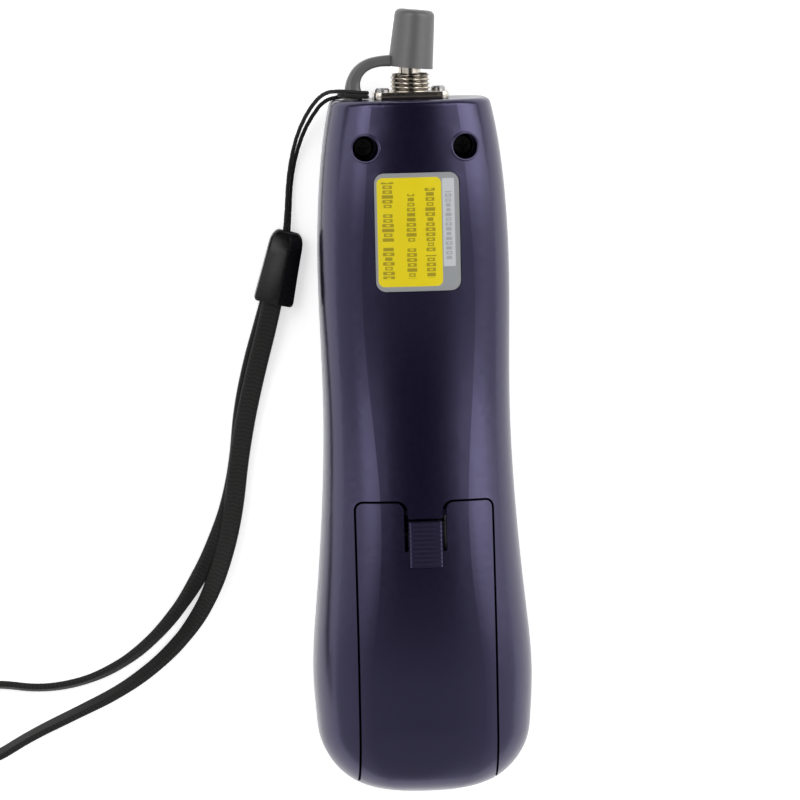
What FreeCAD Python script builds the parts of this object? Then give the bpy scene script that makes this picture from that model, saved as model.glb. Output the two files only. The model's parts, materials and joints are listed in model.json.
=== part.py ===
"""Handheld optical power meter, lying on its front face, in millimetres.

The housing's front rests on z = 0 and its back looks up +Z. Its length runs along Y, with the
fibre port at the +Y end. X = 0 is the plane of symmetry. The origin is on the resting face,
half way along the housing.
"""
import FreeCAD
import Part
import Sketcher
import math
import os
import re

SIZES = {
    # Housing: overall, and the rounded bottom end seen in plan
    "body_length": 139.0,
    "front_depth": 10.5,
    "wall": 1.9,
    "front_corner": 5.5,
    "front_skim": 0.12,
    "crown_ratio": 2.6,
    "end_bow": 50.0,
    "end_corner": 14.0,
    "end_half": 21.3,
    "end_back": 13.4,
    "top_round": 1.3,
    "seam_depth": 0.25,
    "seam_width": 0.4,
    # Stations along the housing: distance, half width, height of the back over the seam
    "hip_at": 24.0, "hip_half": 21.8, "hip_back": 13.9,
    "thigh_at": 38.0, "thigh_half": 20.85, "thigh_back": 14.1,
    "flank_at": 56.0, "flank_half": 19.35, "flank_back": 13.4,
    "waist_at": 79.0, "waist_half": 18.55, "waist_back": 11.5,
    "bulge_drop": 36.0, "bulge_half": 19.0, "bulge_back": 11.1,
    "shoulder_drop": 18.0, "shoulder_half": 18.4, "shoulder_back": 11.3,
    "neck_drop": 8.0, "neck_half": 17.3, "neck_back": 10.8,
    "top_half": 15.75, "top_back": 10.0,
    # Fits
    "part_gap": 0.2,
    "slide_gap": 0.05,
    "fine_gap": 0.03,
    # Battery door, its latch tongue and its foot tabs
    "door_width": 27.1,
    "door_length": 59.3,
    "door_gap": 0.45,
    "door_corner": 1.4,
    "door_ear": 1.5,
    "slot_round": 0.3,
    "latch_width": 6.9,
    "latch_slot": 0.8,
    "latch_slot_length": 9.7,
    "latch_tab": 3.2,
    "rib_count": 8,
    "rib_pitch": 1.15,
    "rib_width": 0.6,
    "rib_height": 0.3,
    "rib_length": 6.2,
    "foot_tab_x": 5.0,
    "foot_tab_width": 4.0,
    "foot_tab_thick": 1.2,
    "foot_tab_drop": 1.9,
    "foot_tab_rise": 3.0,
    # Battery bay and cells (AAA)
    "cell_radius": 5.25,
    "cell_length": 44.5,
    "cell_nub_radius": 1.9,
    "cell_nub_length": 1.0,
    "cell_spacing": 10.8,
    "bay_start": 8.2,
    "bay_side_gap": 0.35,
    "bay_wall": 1.0,
    "bay_floor": 1.0,
    "bay_floor_z": 8.8,
    "bay_shelf": 1.2,
    "bay_shelf_reach": 2.0,
    "tail_width": 2.4,
    "spring_length": 3.0,
    "spring_radius": 2.3,
    "spring_wire": 0.5,
    "spring_pitch": 0.85,
    "contact_thick": 0.4,
    "contact_width": 8.4,
    "contact_height": 7.6,
    "contact_play": 0.1,
    # Circuit board
    "board_front_z": 6.4,
    "board_thick": 1.6,
    "board_width": 30.6,
    "board_start": 13.0,
    "board_end_drop": 14.5,
    "board_neck_width": 11.4,
    "board_neck_drop": 6.0,
    "board_hole_x": 13.7,
    "board_hole_low": 21.0,
    "board_hole_drop": 19.5,
    "board_post_radius": 1.7,
    "board_pilot_radius": 0.8,
    "board_head_radius": 1.45,
    "board_head": 1.2,
    "board_screw_length": 5.0,
    # Housing screws, two at the top and two in the bay floor
    "screw_x": 9.9,
    "screw_drop": 9.3,
    "screw_well_radius": 2.55,
    "screw_boss_wall": 1.2,
    "screw_seat_z": 12.0,
    "screw_head_radius": 2.2,
    "screw_head": 1.5,
    "screw_radius": 1.25,
    "screw_length": 8.5,
    "screw_post_radius": 2.9,
    "cross_width": 0.6,
    "cross_length": 2.4,
    "cross_depth": 0.8,
    "bay_screw_low": 17.0,
    "bay_screw_high": 38.0,
    "bay_screw_length": 5.6,
    "bay_boss_radius": 3.4,
    "bay_boss": 0.9,
    # Rating label in its pocket
    "label_drop": 26.0,
    "label_width": 16.9,
    "label_length": 23.5,
    "label_corner": 2.0,
    "label_pocket": 0.45,
    "label_thick": 0.3,
    "label_gap": 0.15,
    # Display, seen from the front
    "window_drop": 32.0,
    "window_width": 24.0,
    "window_length": 32.0,
    "window_corner": 2.0,
    "window_thick": 1.0,
    "window_sink": 0.2,
    "window_rim": 1.6,
    "panel_thick": 2.0,
    "panel_inset": 1.0,
    "panel_gap": 0.1,
    "lcd_holder_wall": 0.7,
    "strip_width": 2.0,
    "backlight_thick": 1.5,
    "backlight_inset": 3.0,
    # Keys, three rows of two, and their dome switches
    "key_row_low": 48.0,
    "key_pitch": 13.5,
    "key_x": 6.1,
    "key_width": 9.6,
    "key_length": 6.8,
    "key_corner": 2.4,
    "key_sink": 0.3,
    "key_gap": 0.2,
    "key_flange": 1.0,
    "key_flange_thick": 0.8,
    "key_stem_radius": 1.5,
    "key_travel": 0.35,
    "key_play": 0.1,
    "switch_side": 4.5,
    "switch_height": 1.2,
    # Chips and the shield can on the board's back
    "chip_side": 10.0,
    "chip_height": 1.4,
    "chip_corner": 0.3,
    "chip_at": 76.0,
    "amplifier_width": 4.0,
    "amplifier_length": 5.0,
    "shield_drop": 27.0,
    "shield_width": 12.0,
    "shield_length": 14.0,
    "shield_height": 3.0,
    "shield_corner": 0.6,
    "shield_wall": 0.3,
    # Fibre port: threaded receptacle, ferrule sleeve, detector
    "port_flange_width": 14.9,
    "port_flange_height": 9.5,
    "port_flange_thick": 1.5,
    "port_flange_corner": 1.5,
    "port_spigot_radius": 3.5,
    "port_spigot_length": 9.0,
    "port_tail_radius": 2.3,
    "thread_radius": 4.0,
    "thread_end": 5.1,
    "thread_chamfer": 0.3,
    "thread_well_radius": 3.1,
    "thread_well": 2.6,
    "neck_radius": 2.2,
    "neck_end": 9.6,
    "ferrule_radius": 1.25,
    "sleeve_radius": 1.6,
    "sleeve_length": 12.0,
    "port_mouth": 0.3,
    "neck_chamfer": 0.2,
    "light_radius": 0.9,
    "port_screw_x": 5.8,
    "port_screw_z": 2.8,
    "port_screw_radius": 0.8,
    "port_screw_head_radius": 1.45,
    "port_screw_head": 0.8,
    "port_screw_length": 4.5,
    "holder_width": 10.4,
    "holder_length": 9.0,
    "holder_height": 6.4,
    "holder_grip": 3.0,
    "diode_radius": 2.05,
    "diode_length": 3.6,
    "diode_rim_radius": 2.35,
    "diode_rim": 0.4,
    "lead_radius": 0.22,
    "lead_length": 3.0,
    "lead_circle": 1.27,
    # Rubber dust cap, its tether and the tether's foot
    "cap_base_radius": 4.5,
    "cap_top_radius": 3.95,
    "cap_length": 11.6,
    "cap_round": 1.2,
    "cap_bore_radius": 2.9,
    "cap_bore": 3.7,
    "cap_lift": 6.2,
    "cap_lean": 6.0,
    "cap_shift": 0.13,
    "tether_thick": 2.4,
    "tether_width": 3.4,
    "tether_lift": 7.55,
    "tether_reach": 11.2,
    "tether_bend": 3.6,
    "tether_root": 4.3,
    "foot_base_radius": 2.3,
    "foot_neck_radius": 1.45,
    "foot_height": 3.4,
    "foot_peg_radius": 1.5,
    "foot_barb_radius": 2.2,
    "foot_barb": 1.0,
    # Wrist strap: cord, clasp and webbing
    "cord_radius": 0.4,
    "clasp_x": -24.85,
    "clasp_top": 43.9,
    "clasp_turn": -13.6,
    "clasp_length": 15.0,
    "clasp_width": 7.6,
    "clasp_neck_width": 5.0,
    "clasp_flare": 0.4,
    "clasp_shoulder": 2.2,
    "clasp_height": 5.0,
    "clasp_round": 1.3,
    "clasp_mouth_height": 3.4,
    "clasp_mouth_depth": 4.0,
    "clasp_eye_width": 2.6,
    "clasp_eye_height": 1.4,
    "clasp_eye_depth": 3.0,
    "webbing_width": 4.0,
    "webbing_thick": 1.3,
}

# Places worked out from the sizes, as formulas in the names above and in each other.
PLACES = {
    "top_y": "body_length / 2",
    "end_y": "-body_length / 2",
    "door_top_y": "end_y + door_length",
    "door_half": "door_width / 2",
    "tongue_top_y": "door_top_y - latch_tab - door_gap",
    "bay_half": "cell_spacing / 2 + cell_radius + bay_side_gap",
    "bay_low_y": "end_y + bay_start",
    "bay_length": "cell_length + spring_length + 2 * contact_thick + 2 * contact_play",
    "bay_high_y": "bay_low_y + bay_length",
    "bay_top_z": "bay_floor_z + bay_floor",
    "cell_z": "bay_top_z + part_gap + cell_radius",
    "board_back_z": "board_front_z + board_thick",
    "board_low_y": "end_y + board_start",
    "screw_y": "top_y - screw_drop",
    "label_y": "top_y - label_drop",
    "window_y": "top_y - window_drop",
    "axis_z": "front_depth",
    "port_face_y": "top_y + port_flange_thick",
    "front_wall_z": "wall - front_skim",
    "key_seat_z": "front_wall_z + slide_gap",
    "panel_z": "front_wall_z + fine_gap",
    "panel_width": "window_width - 2 * panel_inset",
    "panel_length": "window_length - 2 * panel_inset",
    "switch_z": "board_front_z - switch_height",
    "cap_y": "top_y + cap_lift",
    "tether_y": "top_y + tether_lift",
    "foot_x": "-tether_reach",
}
STATIONS = (
    ("hip_at", "hip_half", "hip_back"),
    ("thigh_at", "thigh_half", "thigh_back"),
    ("flank_at", "flank_half", "flank_back"),
    ("waist_at", "waist_half", "waist_back"),
    ("body_length - bulge_drop", "bulge_half", "bulge_back"),
    ("body_length - shoulder_drop", "shoulder_half", "shoulder_back"),
    ("body_length - neck_drop", "neck_half", "neck_back"),
    ("body_length", "top_half", "top_back"),
)
FAR = 60.0

# The cord: from the clasp's eye, twice round the tether's foot, and back to the eye.
CORD_ROUTE = (
    (-26.0, 41.3, 2.5), (-25.4, 46.6, 2.0), (-25.2, 53.2, 1.3), (-24.1, 58.6, 1.5),
    (-22.5, 63.6, 3.3), (-20.0, 68.3, 6.2), (-17.2, 71.1, 9.3), (-14.2, 71.5, 13.25),
    (-8.6, 70.9, 13.25), (-8.6, 70.8, 7.75), (-14.2, 70.7, 7.75), (-14.2, 70.5, 13.25),
    (-8.6, 70.1, 13.25), (-8.6, 70.0, 7.75), (-14.0, 70.2, 7.6), (-17.3, 69.3, 6.4),
    (-19.6, 66.4, 4.6), (-21.4, 63.0, 2.6), (-22.9, 58.2, 1.1), (-24.3, 52.6, 0.9),
    (-24.6, 46.4, 1.9), (-25.1, 41.1, 2.5),
)
# The webbing: from the clasp's mouth along the outer strand, round the wrist end and back.
WEBBING_ROUTE = (
    (-27.5, 33.0, 3.3), (-29.9, 26.0, 2.9), (-31.9, 17.6, 2.15), (-33.9, 8.0, 2.15),
    (-35.6, -2.0, 2.15), (-38.0, -12.0, 2.15), (-41.6, -21.2, 2.15), (-46.9, -29.0, 2.15),
    (-53.1, -36.6, 1.2), (-59.6, -42.8, 0.9), (-67.4, -46.6, 0.9), (-76.4, -47.6, 0.9),
    (-85.0, -46.2, 0.9), (-93.6, -46.4, 0.9), (-99.0, -53.4, 0.9), (-95.6, -61.4, 0.9),
    (-87.4, -62.0, 0.9), (-79.0, -57.0, 0.9), (-70.4, -54.4, 0.9), (-61.8, -50.0, 0.9),
    (-54.2, -43.6, 0.9), (-47.8, -36.6, 0.75), (-43.4, -29.4, 0.7), (-39.9, -21.0, 0.7),
    (-37.3, -11.8, 0.7), (-35.3, -2.2, 0.7), (-33.4, 7.8, 0.7), (-31.3, 17.4, 0.8),
    (-29.7, 25.8, 1.3), (-27.5, 33.0, 1.8),
)

WORD = re.compile(r"[a-z][a-z_]*")
doc = FreeCAD.newDocument("optical_power_meter")
sheet = doc.addObject("Spreadsheet::Sheet", "sizes")
finished = []


def fill_sheet():
    for row, (name, value) in enumerate(SIZES.items(), 1):
        sheet.set(f"A{row}", name)
        sheet.set(f"B{row}", str(value))
        sheet.setAlias(f"B{row}", name)
    doc.recompute()


def formula(rule):
    """The rule as a FreeCAD expression on the sheet."""
    def swap(match):
        word = match.group()
        if word in PLACES:
            return "(" + formula(PLACES[word]) + ")"
        return "sizes." + word if word in SIZES else word
    return WORD.sub(swap, rule)


def number(rule):
    """The rule's value, from the sheet's cells."""
    def swap(match):
        word = match.group()
        if word in PLACES:
            return "(" + WORD.sub(swap, PLACES[word]) + ")"
        return f"({float(sheet.get(word))})" if word in SIZES else word
    return FreeCAD.Units.Quantity(WORD.sub(swap, rule)).Value


def vector(x, y, z):
    return FreeCAD.Vector(x, y, z)


def make(kind, name, rules=None, **settings):
    item = doc.addObject(kind, name)
    for key, value in settings.items():
        setattr(item, key, value)
    for prop, rule in (rules or {}).items():
        item.setExpression(prop, formula(rule))
    return item


def base(x, y, z):
    return {"Placement.Base.x": x, "Placement.Base.y": y, "Placement.Base.z": z}


def block(name, x, y, z):
    """A box between two formulas on each axis."""
    rules = base(x[0], y[0], z[0])
    for side, (low, high) in (("Length", x), ("Width", y), ("Height", z)):
        rules[side] = f"({high}) - ({low})"
    return make("Part::Box", name, rules)


TURNS = {
    "z": FreeCAD.Rotation(),
    "y": FreeCAD.Rotation(vector(1, 0, 0), -90),
    "-y": FreeCAD.Rotation(vector(1, 0, 0), 90),
}


def rod(name, radius, length, x, y, z, along="z"):
    turn = FreeCAD.Placement(vector(0, 0, 0), TURNS[along])
    rules = dict(base(x, y, z), Radius=radius, Height=length)
    return make("Part::Cylinder", name, rules, Placement=turn)


def cone(name, radius, end_radius, length, x, y, z, along="z"):
    turn = FreeCAD.Placement(vector(0, 0, 0), TURNS[along])
    rules = dict(base(x, y, z), Radius1=radius, Radius2=end_radius, Height=length)
    return make("Part::Cone", name, rules, Placement=turn)


def solid(name, shape):
    """A computed shape, for forms that no parametric object makes."""
    item = doc.addObject("Part::Feature", name)
    item.Shape = shape
    return item


def fuse(name, *items):
    return make("Part::MultiFuse", name, Shapes=list(items))


def common(name, *items):
    return make("Part::MultiCommon", name, Shapes=list(items))


def cut(name, item, *tools):
    tool = tools[0] if len(tools) == 1 else fuse(name + "_tools", *tools)
    return make("Part::Cut", name, Base=item, Tool=tool)


def group(name, items):
    """Like pieces of one kind, kept as separate solids of one sub-part."""
    return make("Part::Compound", name, Links=list(items))


def finish(item, label):
    item.Label = label
    finished.append(item)
    return item


# ---------------------------------------------------------------- bodies with sketches

def new_body(name, x="0", y="0", z="0", turn=None):
    body = doc.addObject("PartDesign::Body", name)
    body.Placement = FreeCAD.Placement(vector(0, 0, 0), turn or FreeCAD.Rotation())
    for prop, rule in base(x, y, z).items():
        body.setExpression(prop, formula(rule))
    return body


def new_sketch(body, name, role="XY_Plane"):
    sketch = body.newObject("Sketcher::SketchObject", name)
    plane = [item for item in body.Origin.OriginFeatures if item.Role == role][0]
    sketch.AttachmentSupport = [(plane, "")]
    sketch.MapMode = "FlatFace"
    return sketch


def tie(sketch, kind, *places, rule):
    """A dimension of the sketch, bound to a formula."""
    index = sketch.addConstraint(Sketcher.Constraint(kind, *places, number(rule)))
    sketch.setExpression(f"Constraints[{index}]", formula(rule))


def draw_outline(sketch, points):
    """A closed outline of straight sides through points given as pairs of formulas."""
    spots = [vector(number(x), number(y), 0) for x, y in points]
    count = len(spots)
    for index, spot in enumerate(spots):
        sketch.addGeometry(Part.LineSegment(spot, spots[(index + 1) % count]))
    for index in range(count):
        after = (index + 1) % count
        sketch.addConstraint(Sketcher.Constraint("Coincident", index, 2, after, 1))
    for index, (x, y) in enumerate(points):
        for kind, axis, rule in (("DistanceX", -2, x), ("DistanceY", -1, y)):
            if rule == "0":
                sketch.addConstraint(Sketcher.Constraint("PointOnObject", index, 1, axis))
            else:
                tie(sketch, kind, -1, 1, index, 1, rule=rule)


def draw_rectangle(sketch, width, length):
    """A rectangle centred on the sketch's origin."""
    half_width, half_length = number(width) / 2, number(length) / 2
    corners = [vector(x * half_width, y * half_length, 0)
               for x, y in ((-1, -1), (1, -1), (1, 1), (-1, 1))]
    for index in range(4):
        sketch.addGeometry(Part.LineSegment(corners[index], corners[(index + 1) % 4]))
    for index in range(4):
        sketch.addConstraint(Sketcher.Constraint("Coincident", index, 2, (index + 1) % 4, 1))
    for index, kind in ((0, "Horizontal"), (1, "Vertical"), (2, "Horizontal"), (3, "Vertical")):
        sketch.addConstraint(Sketcher.Constraint(kind, index))
    sketch.addConstraint(Sketcher.Constraint("Symmetric", 0, 1, 2, 1, -1, 1))
    tie(sketch, "DistanceX", 0, 1, 0, 2, rule=width)
    tie(sketch, "DistanceY", 1, 1, 1, 2, rule=length)


def pad(body, name, sketch, length):
    item = body.newObject("PartDesign::Pad", name)
    item.Profile = sketch
    item.setExpression("Length", formula(length))
    sketch.Visibility = False
    return item


def round_edges(body, name, radius, keep):
    """A fillet on the edges of the body's tip that keep() picks."""
    doc.recompute()
    tip = body.Tip
    names = [f"Edge{index}" for index, edge in enumerate(tip.Shape.Edges, 1) if keep(edge)]
    item = body.newObject("PartDesign::Fillet", name)
    item.Base = (tip, names)
    item.setExpression("Radius", formula(radius))
    return item


def upright(edge):
    box = edge.BoundBox
    return box.ZLength > 0.01 and box.XLength < 1e-4 and box.YLength < 1e-4


def plate(name, width, length, thick, corner, x, y, z, along="z"):
    """A rounded plate centred on x and y, standing on z and thick along one axis."""
    body = new_body(name, x, y, z, TURNS[along])
    sketch = new_sketch(body, name + "_outline")
    draw_rectangle(sketch, width, length)
    pad(body, name + "_pad", sketch, thick)
    round_edges(body, name + "_corners", corner, upright)
    return body


def turned(name, points, x, y, z, along="y", lean=0.0):
    """A turned piece: points are (radius, distance along its axis) from its base."""
    # The profile's plane holds the axis as its own Y.
    turn = {"y": FreeCAD.Rotation(), "-y": FreeCAD.Rotation(vector(1, 0, 0), 180),
            "z": FreeCAD.Rotation(vector(1, 0, 0), 90)}[along]
    tilt = FreeCAD.Rotation(vector(0, 0, 1), -lean)
    body = new_body(name, x, y, z, tilt.multiply(turn))
    sketch = new_sketch(body, name + "_profile")
    draw_outline(sketch, points)
    item = body.newObject("PartDesign::Revolution", name + "_turn")
    item.Profile = sketch
    item.ReferenceAxis = (sketch, ["V_Axis"])
    item.Angle = 360
    sketch.Visibility = False
    return body


# ---------------------------------------------------------------- housing forms

def end_stations(inset):
    """(distance from the end, half width) round the bottom end: a bow, then a corner arc."""
    bow = number("end_bow") - inset
    corner = number("end_corner") - inset
    centre_x = number("end_half") - inset - corner
    centre_y = bow - math.sqrt((bow - corner) ** 2 - centre_x ** 2)
    join = math.atan2(centre_x, bow - centre_y)
    stations = []
    for share in (0.12, 0.35, 0.7):
        angle = join * share
        stations.append((inset + bow - bow * math.cos(angle), bow * math.sin(angle)))
    for step in range(6):
        angle = join + (math.pi / 2 - join) * step / 5
        stations.append((inset + centre_y - corner * math.cos(angle),
                         centre_x + corner * math.sin(angle)))
    return stations


def section(distance, half, back, front, corner):
    """One cross section: crowned back, round shoulders, upright sides, flat front."""
    y = distance + number("end_y")
    seam = number("axis_z")
    crown = number("crown_ratio") * half
    shoulder = (2 * crown * back - back ** 2 - half ** 2) / (2 * (crown - half))
    centre_x = half - shoulder
    crown_z = seam + back - crown
    reach = math.hypot(centre_x, seam - crown_z)
    join_x = crown * centre_x / reach
    join_z = crown_z + crown * (seam - crown_z) / reach
    middle = math.atan2(join_z - seam, join_x - centre_x) / 2
    mid_x = centre_x + shoulder * math.cos(middle)
    mid_z = seam + shoulder * math.sin(middle)
    low = seam - front
    sag = corner * (1 - math.sqrt(0.5))

    def spot(x, z):
        return vector(x, y, z)

    edges = [
        Part.Arc(spot(half, seam), spot(mid_x, mid_z), spot(join_x, join_z)),
        Part.Arc(spot(join_x, join_z), spot(0, seam + back), spot(-join_x, join_z)),
        Part.Arc(spot(-join_x, join_z), spot(-mid_x, mid_z), spot(-half, seam)),
        Part.LineSegment(spot(-half, seam), spot(-half, low + corner)),
        Part.Arc(spot(-half, low + corner), spot(sag - half, low + sag),
                 spot(corner - half, low)),
        Part.LineSegment(spot(corner - half, low), spot(half - corner, low)),
        Part.Arc(spot(half - corner, low), spot(half - sag, low + sag),
                 spot(half, low + corner)),
        Part.LineSegment(spot(half, low + corner), spot(half, seam)),
    ]
    return Part.Wire([edge.toShape() for edge in edges])


def housing_form(inset):
    """The housing's outer form, moved inwards by inset."""
    front = number("front_depth + front_skim") - inset
    corner = number("front_corner") - inset
    end_half = number("end_half") - inset
    sections = []
    for distance, half in end_stations(inset):
        share = half / end_half
        back = number("end_back") - inset
        sections.append(section(distance, half, back * share, front * share, corner * share))
    for at, half, back in STATIONS:
        distance = min(number(at), number("body_length") - inset) if inset > 0 else number(at)
        sections.append(section(distance, number(half) - inset, number(back) - inset,
                                front, corner))
    return Part.makeLoft(sections, True, False)


def half_space(low_z, high_z):
    side = 4 * FAR
    return Part.makeBox(side, side, high_z - low_z, vector(-side / 2, -side / 2, low_z))


def outer_form():
    """The form with its resting face skimmed flat and its top end rounded."""
    form = housing_form(0).common(half_space(0, FAR)).Solids[0]
    top = number("top_y")
    rim = [edge for edge in form.Edges
           if abs(edge.BoundBox.YMin - top) < 1e-3 and abs(edge.BoundBox.YMax - top) < 1e-3]
    return form.makeFillet(number("top_round"), rim)


def upright_near(*spots):
    """Picks the upright edges that stand at spots given as (x, y) pairs of formulas."""
    places = [(number(x), number(y)) for x, y in spots]

    def keep(edge):
        box = edge.BoundBox
        return upright(edge) and any(abs(box.XMin - x) < 0.01 and abs(box.YMin - y) < 0.01
                                     for x, y in places)
    return keep


def door_prism(name, spread, tongue, ear_round):
    """The door's outline in plan, moved outwards by spread, as an upright prism.

    With tongue the two slots beside the latch tongue are open and the tongue ends under the
    housing's tab; without it the slots' whole width down to the tab is kept free of the door.
    """
    middle = f"(door_half + {spread})"
    width = f"2 * {middle}"
    top = f"(door_length + {spread} + 2 * wall)"
    body = new_body(name, f"-{middle}", "end_y - 2 * wall", "axis_z")
    inner = "latch_width / 2"
    if tongue:
        ear = "(latch_width / 2 + latch_slot)"
        low = f"({top} - latch_slot_length)"
        tip = f"({top} - latch_tab - door_gap)"
        notch = [(f"{middle} + {ear}", top), (f"{middle} + {ear}", low),
                 (f"{middle} + {inner}", low), (f"{middle} + {inner}", tip),
                 (f"{middle} - {inner}", tip), (f"{middle} - {inner}", low),
                 (f"{middle} - {ear}", low), (f"{middle} - {ear}", top)]
        small = notch[1:7]
    else:
        low = f"({top} - latch_tab - {spread})"
        notch = [(f"{middle} + {inner}", top), (f"{middle} + {inner}", low),
                 (f"{middle} - {inner}", low), (f"{middle} - {inner}", top)]
        small = notch[1:3]
    sketch = new_sketch(body, name + "_outline")
    draw_outline(sketch, [("0", "0"), (width, "0"), (width, top), *notch, ("0", top)])
    pad(body, name + "_pad", sketch, "2 * front_depth + end_back")
    round_edges(body, name + "_corners", f"door_corner + {spread}",
                upright_near((width, top), ("0", top)))
    round_edges(body, name + "_ears", ear_round, upright_near(notch[0], notch[-1]))
    round_edges(body, name + "_slot_ends", "slot_round", upright_near(*small))
    return body


# ---------------------------------------------------------------- housing

def both_sides(x):
    return ((x, "right"), (f"-({x})", "left"))


def build_forms():
    """The nested forms that the shells, the door and the label are cut from."""
    forms = {
        "outer": outer_form(),
        "seam": housing_form(number("seam_depth")),
        "label_top": housing_form(number("label_pocket - label_thick")),
        "label_floor": housing_form(number("label_pocket")),
        "middle": housing_form(number("wall / 2")),
        "cavity": housing_form(number("wall")),
        "seat": housing_form(number("wall + part_gap")),
        "rib": housing_form(-number("rib_height")),
    }
    return {name: solid(name + "_form", shape) for name, shape in forms.items()}


def build_label(forms):
    """A thin curved plate in a shallow pocket of the rear shell."""
    def prism(name, spread):
        width = f"label_width + 2 * ({spread})"
        length = f"label_length + 2 * ({spread})"
        return plate(name, width, length, "2 * front_depth", f"label_corner + {spread}",
                     "0", "label_y", "axis_z")

    pocket = cut("label_pocket_tool", prism("label_pocket_prism", "label_gap"),
                 forms["label_floor"])
    sheet_form = cut("label_sheet_form", forms["label_top"], forms["label_floor"])
    label = common("label_sheet", sheet_form, prism("label_prism", "0"))
    finish(label, "rating_label")
    return pocket


def build_door(forms, skin):
    """The battery door, which wraps over the bottom end, with its latch tongue and foot tabs."""
    prism = door_prism("door_prism", "0", True, "door_ear")
    lift = block("door_clear", (f"-{FAR}", str(FAR)), (f"-2 * {FAR}", str(FAR)),
                 ("axis_z + door_gap", str(FAR)))
    panel = common("door_panel", skin, prism, lift)
    ribs = []
    for index in range(int(number("rib_count"))):
        middle = f"tongue_top_y - rib_width - {index} * rib_pitch"
        ribs.append(block(f"latch_rib_{index + 1}", ("-rib_length / 2", "rib_length / 2"),
                          (f"{middle} - rib_width / 2", f"{middle} + rib_width / 2"),
                          ("axis_z", str(FAR))))
    rib_skin = cut("rib_skin", forms["rib"], forms["middle"])
    rib_set = common("latch_ribs", rib_skin, fuse("rib_blocks", *ribs))
    tab_out = "foot_tab_x + foot_tab_width / 2"
    tab_y = (f"end_y + wall + part_gap + ({tab_out}) * ({tab_out}) / (2 * (end_bow - wall))")
    tabs = []
    for x, side in both_sides("foot_tab_x"):
        span = (f"({x}) - foot_tab_width / 2", f"({x}) + foot_tab_width / 2")
        tabs.append(block(f"foot_tab_{side}", span, (tab_y, f"{tab_y} + foot_tab_thick"),
                          ("axis_z - foot_tab_drop", "axis_z + foot_tab_rise")))
        tabs.append(block(f"foot_web_{side}", span,
                          (f"{tab_y} - wall / 2 - part_gap", f"{tab_y} + foot_tab_thick"),
                          ("axis_z + door_gap", "axis_z + foot_tab_rise")))
    finish(fuse("door_solid", panel, rib_set, *tabs), "battery_door")

    return door_prism("door_opening", "door_gap", False, "door_ear + latch_slot")


def build_bay(forms):
    """The battery bay: a tub under the door on a shelf that ties it to the shell's sides."""
    outside = "bay_half + bay_wall"
    tub = block("bay_tub", (f"-({outside})", outside),
                ("bay_low_y - bay_wall", "bay_high_y + bay_wall"), ("bay_floor_z", str(FAR)))
    shelf = block("bay_shelf_block", (f"-{FAR}", str(FAR)),
                  ("bay_low_y - bay_wall", "bay_high_y + bay_wall + bay_shelf_reach"),
                  ("axis_z", "axis_z + bay_shelf"))
    bosses = [rod(f"bay_boss_{level}", "bay_boss_radius", "bay_boss + bay_floor / 2", "0",
                  f"end_y + bay_screw_{level}", "bay_floor_z - bay_boss")
              for level in ("low", "high")]
    hollow = block("bay_hollow", ("-bay_half", "bay_half"), ("bay_low_y", "bay_high_y"),
                   ("bay_top_z", str(FAR)))
    heads = [rod(f"bay_head_{level}", "screw_head_radius + part_gap", "front_depth", "0",
                 f"end_y + bay_screw_{level}", "bay_floor_z") for level in ("low", "high")]
    holes = [rod(f"bay_hole_{level}", "screw_radius + slide_gap", "front_depth", "0",
                 f"end_y + bay_screw_{level}", "bay_floor_z - bay_boss - wall")
             for level in ("low", "high")]
    tails = [block(f"tail_slot_{side}",
                   (f"({x}) - tail_width / 2 - part_gap", f"({x}) + tail_width / 2 + part_gap"),
                   ("bay_high_y - contact_thick - part_gap", "bay_high_y"),
                   ("bay_floor_z - wall", "bay_top_z + wall"))
             for x, side in both_sides("cell_spacing / 2")]
    walls = common("bay_walls", tub, forms["seat"])
    tie = common("bay_tie", shelf, forms["middle"])
    return cut("bay", fuse("bay_blank", walls, tie, *bosses), hollow, *heads, *holes, *tails)


def port_holes(name):
    """Clearance for the port's spigot and the tether's peg, through the top wall."""
    spigot = rod(name + "_spigot", "port_spigot_radius + part_gap", "2 * wall + 2", "0",
                 "top_y - 2 * wall", "axis_z", "y")
    peg = rod(name + "_peg", "foot_peg_radius + part_gap", "2 * wall + 2", "foot_x",
              "top_y - 2 * wall", "axis_z", "y")
    return [spigot, peg]


def port_boss(name, x, z):
    """A boss behind the top wall for one screw of the port's flange, and its pilot hole."""
    boss = rod(name, "port_screw_radius + wall / 2 + part_gap", "port_screw_length", x,
               "top_y - wall / 2 - port_screw_length", z, "y")
    pilot = rod(name + "_pilot", "port_screw_radius + fine_gap", "port_screw_length", x,
                "top_y - port_screw_length + port_flange_thick", z, "y")
    return boss, pilot


def build_rear_shell(forms, skin, opening, pocket, seam):
    above = block("above_seam", (f"-{FAR}", str(FAR)), (f"-2 * {FAR}", f"2 * {FAR}"),
                  ("axis_z", str(FAR)))
    shell = cut("rear_skin", common("rear_blank", skin, above), opening, pocket, seam)
    bosses, wells = [], []
    for x, side in both_sides("screw_x"):
        bosses.append(rod(f"rear_boss_{side}", "screw_well_radius + screw_boss_wall", str(FAR),
                          x, "screw_y", "axis_z"))
        wells.append(rod(f"screw_well_{side}", "screw_well_radius", str(FAR), x, "screw_y",
                         "screw_seat_z"))
        wells.append(rod(f"screw_hole_{side}", "screw_radius + slide_gap", "front_depth", x,
                         "screw_y", "axis_z - wall"))
    boss, pilot = port_boss("rear_port_boss", "-port_screw_x", "axis_z + port_screw_z")
    posts = common("rear_bosses", fuse("rear_boss_rods", *bosses), forms["middle"])
    blank = fuse("rear_solid_blank", shell, posts, boss, build_bay(forms))
    finish(cut("rear_solid", blank, *wells, pilot, *port_holes("rear_port")), "rear_shell")


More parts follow.
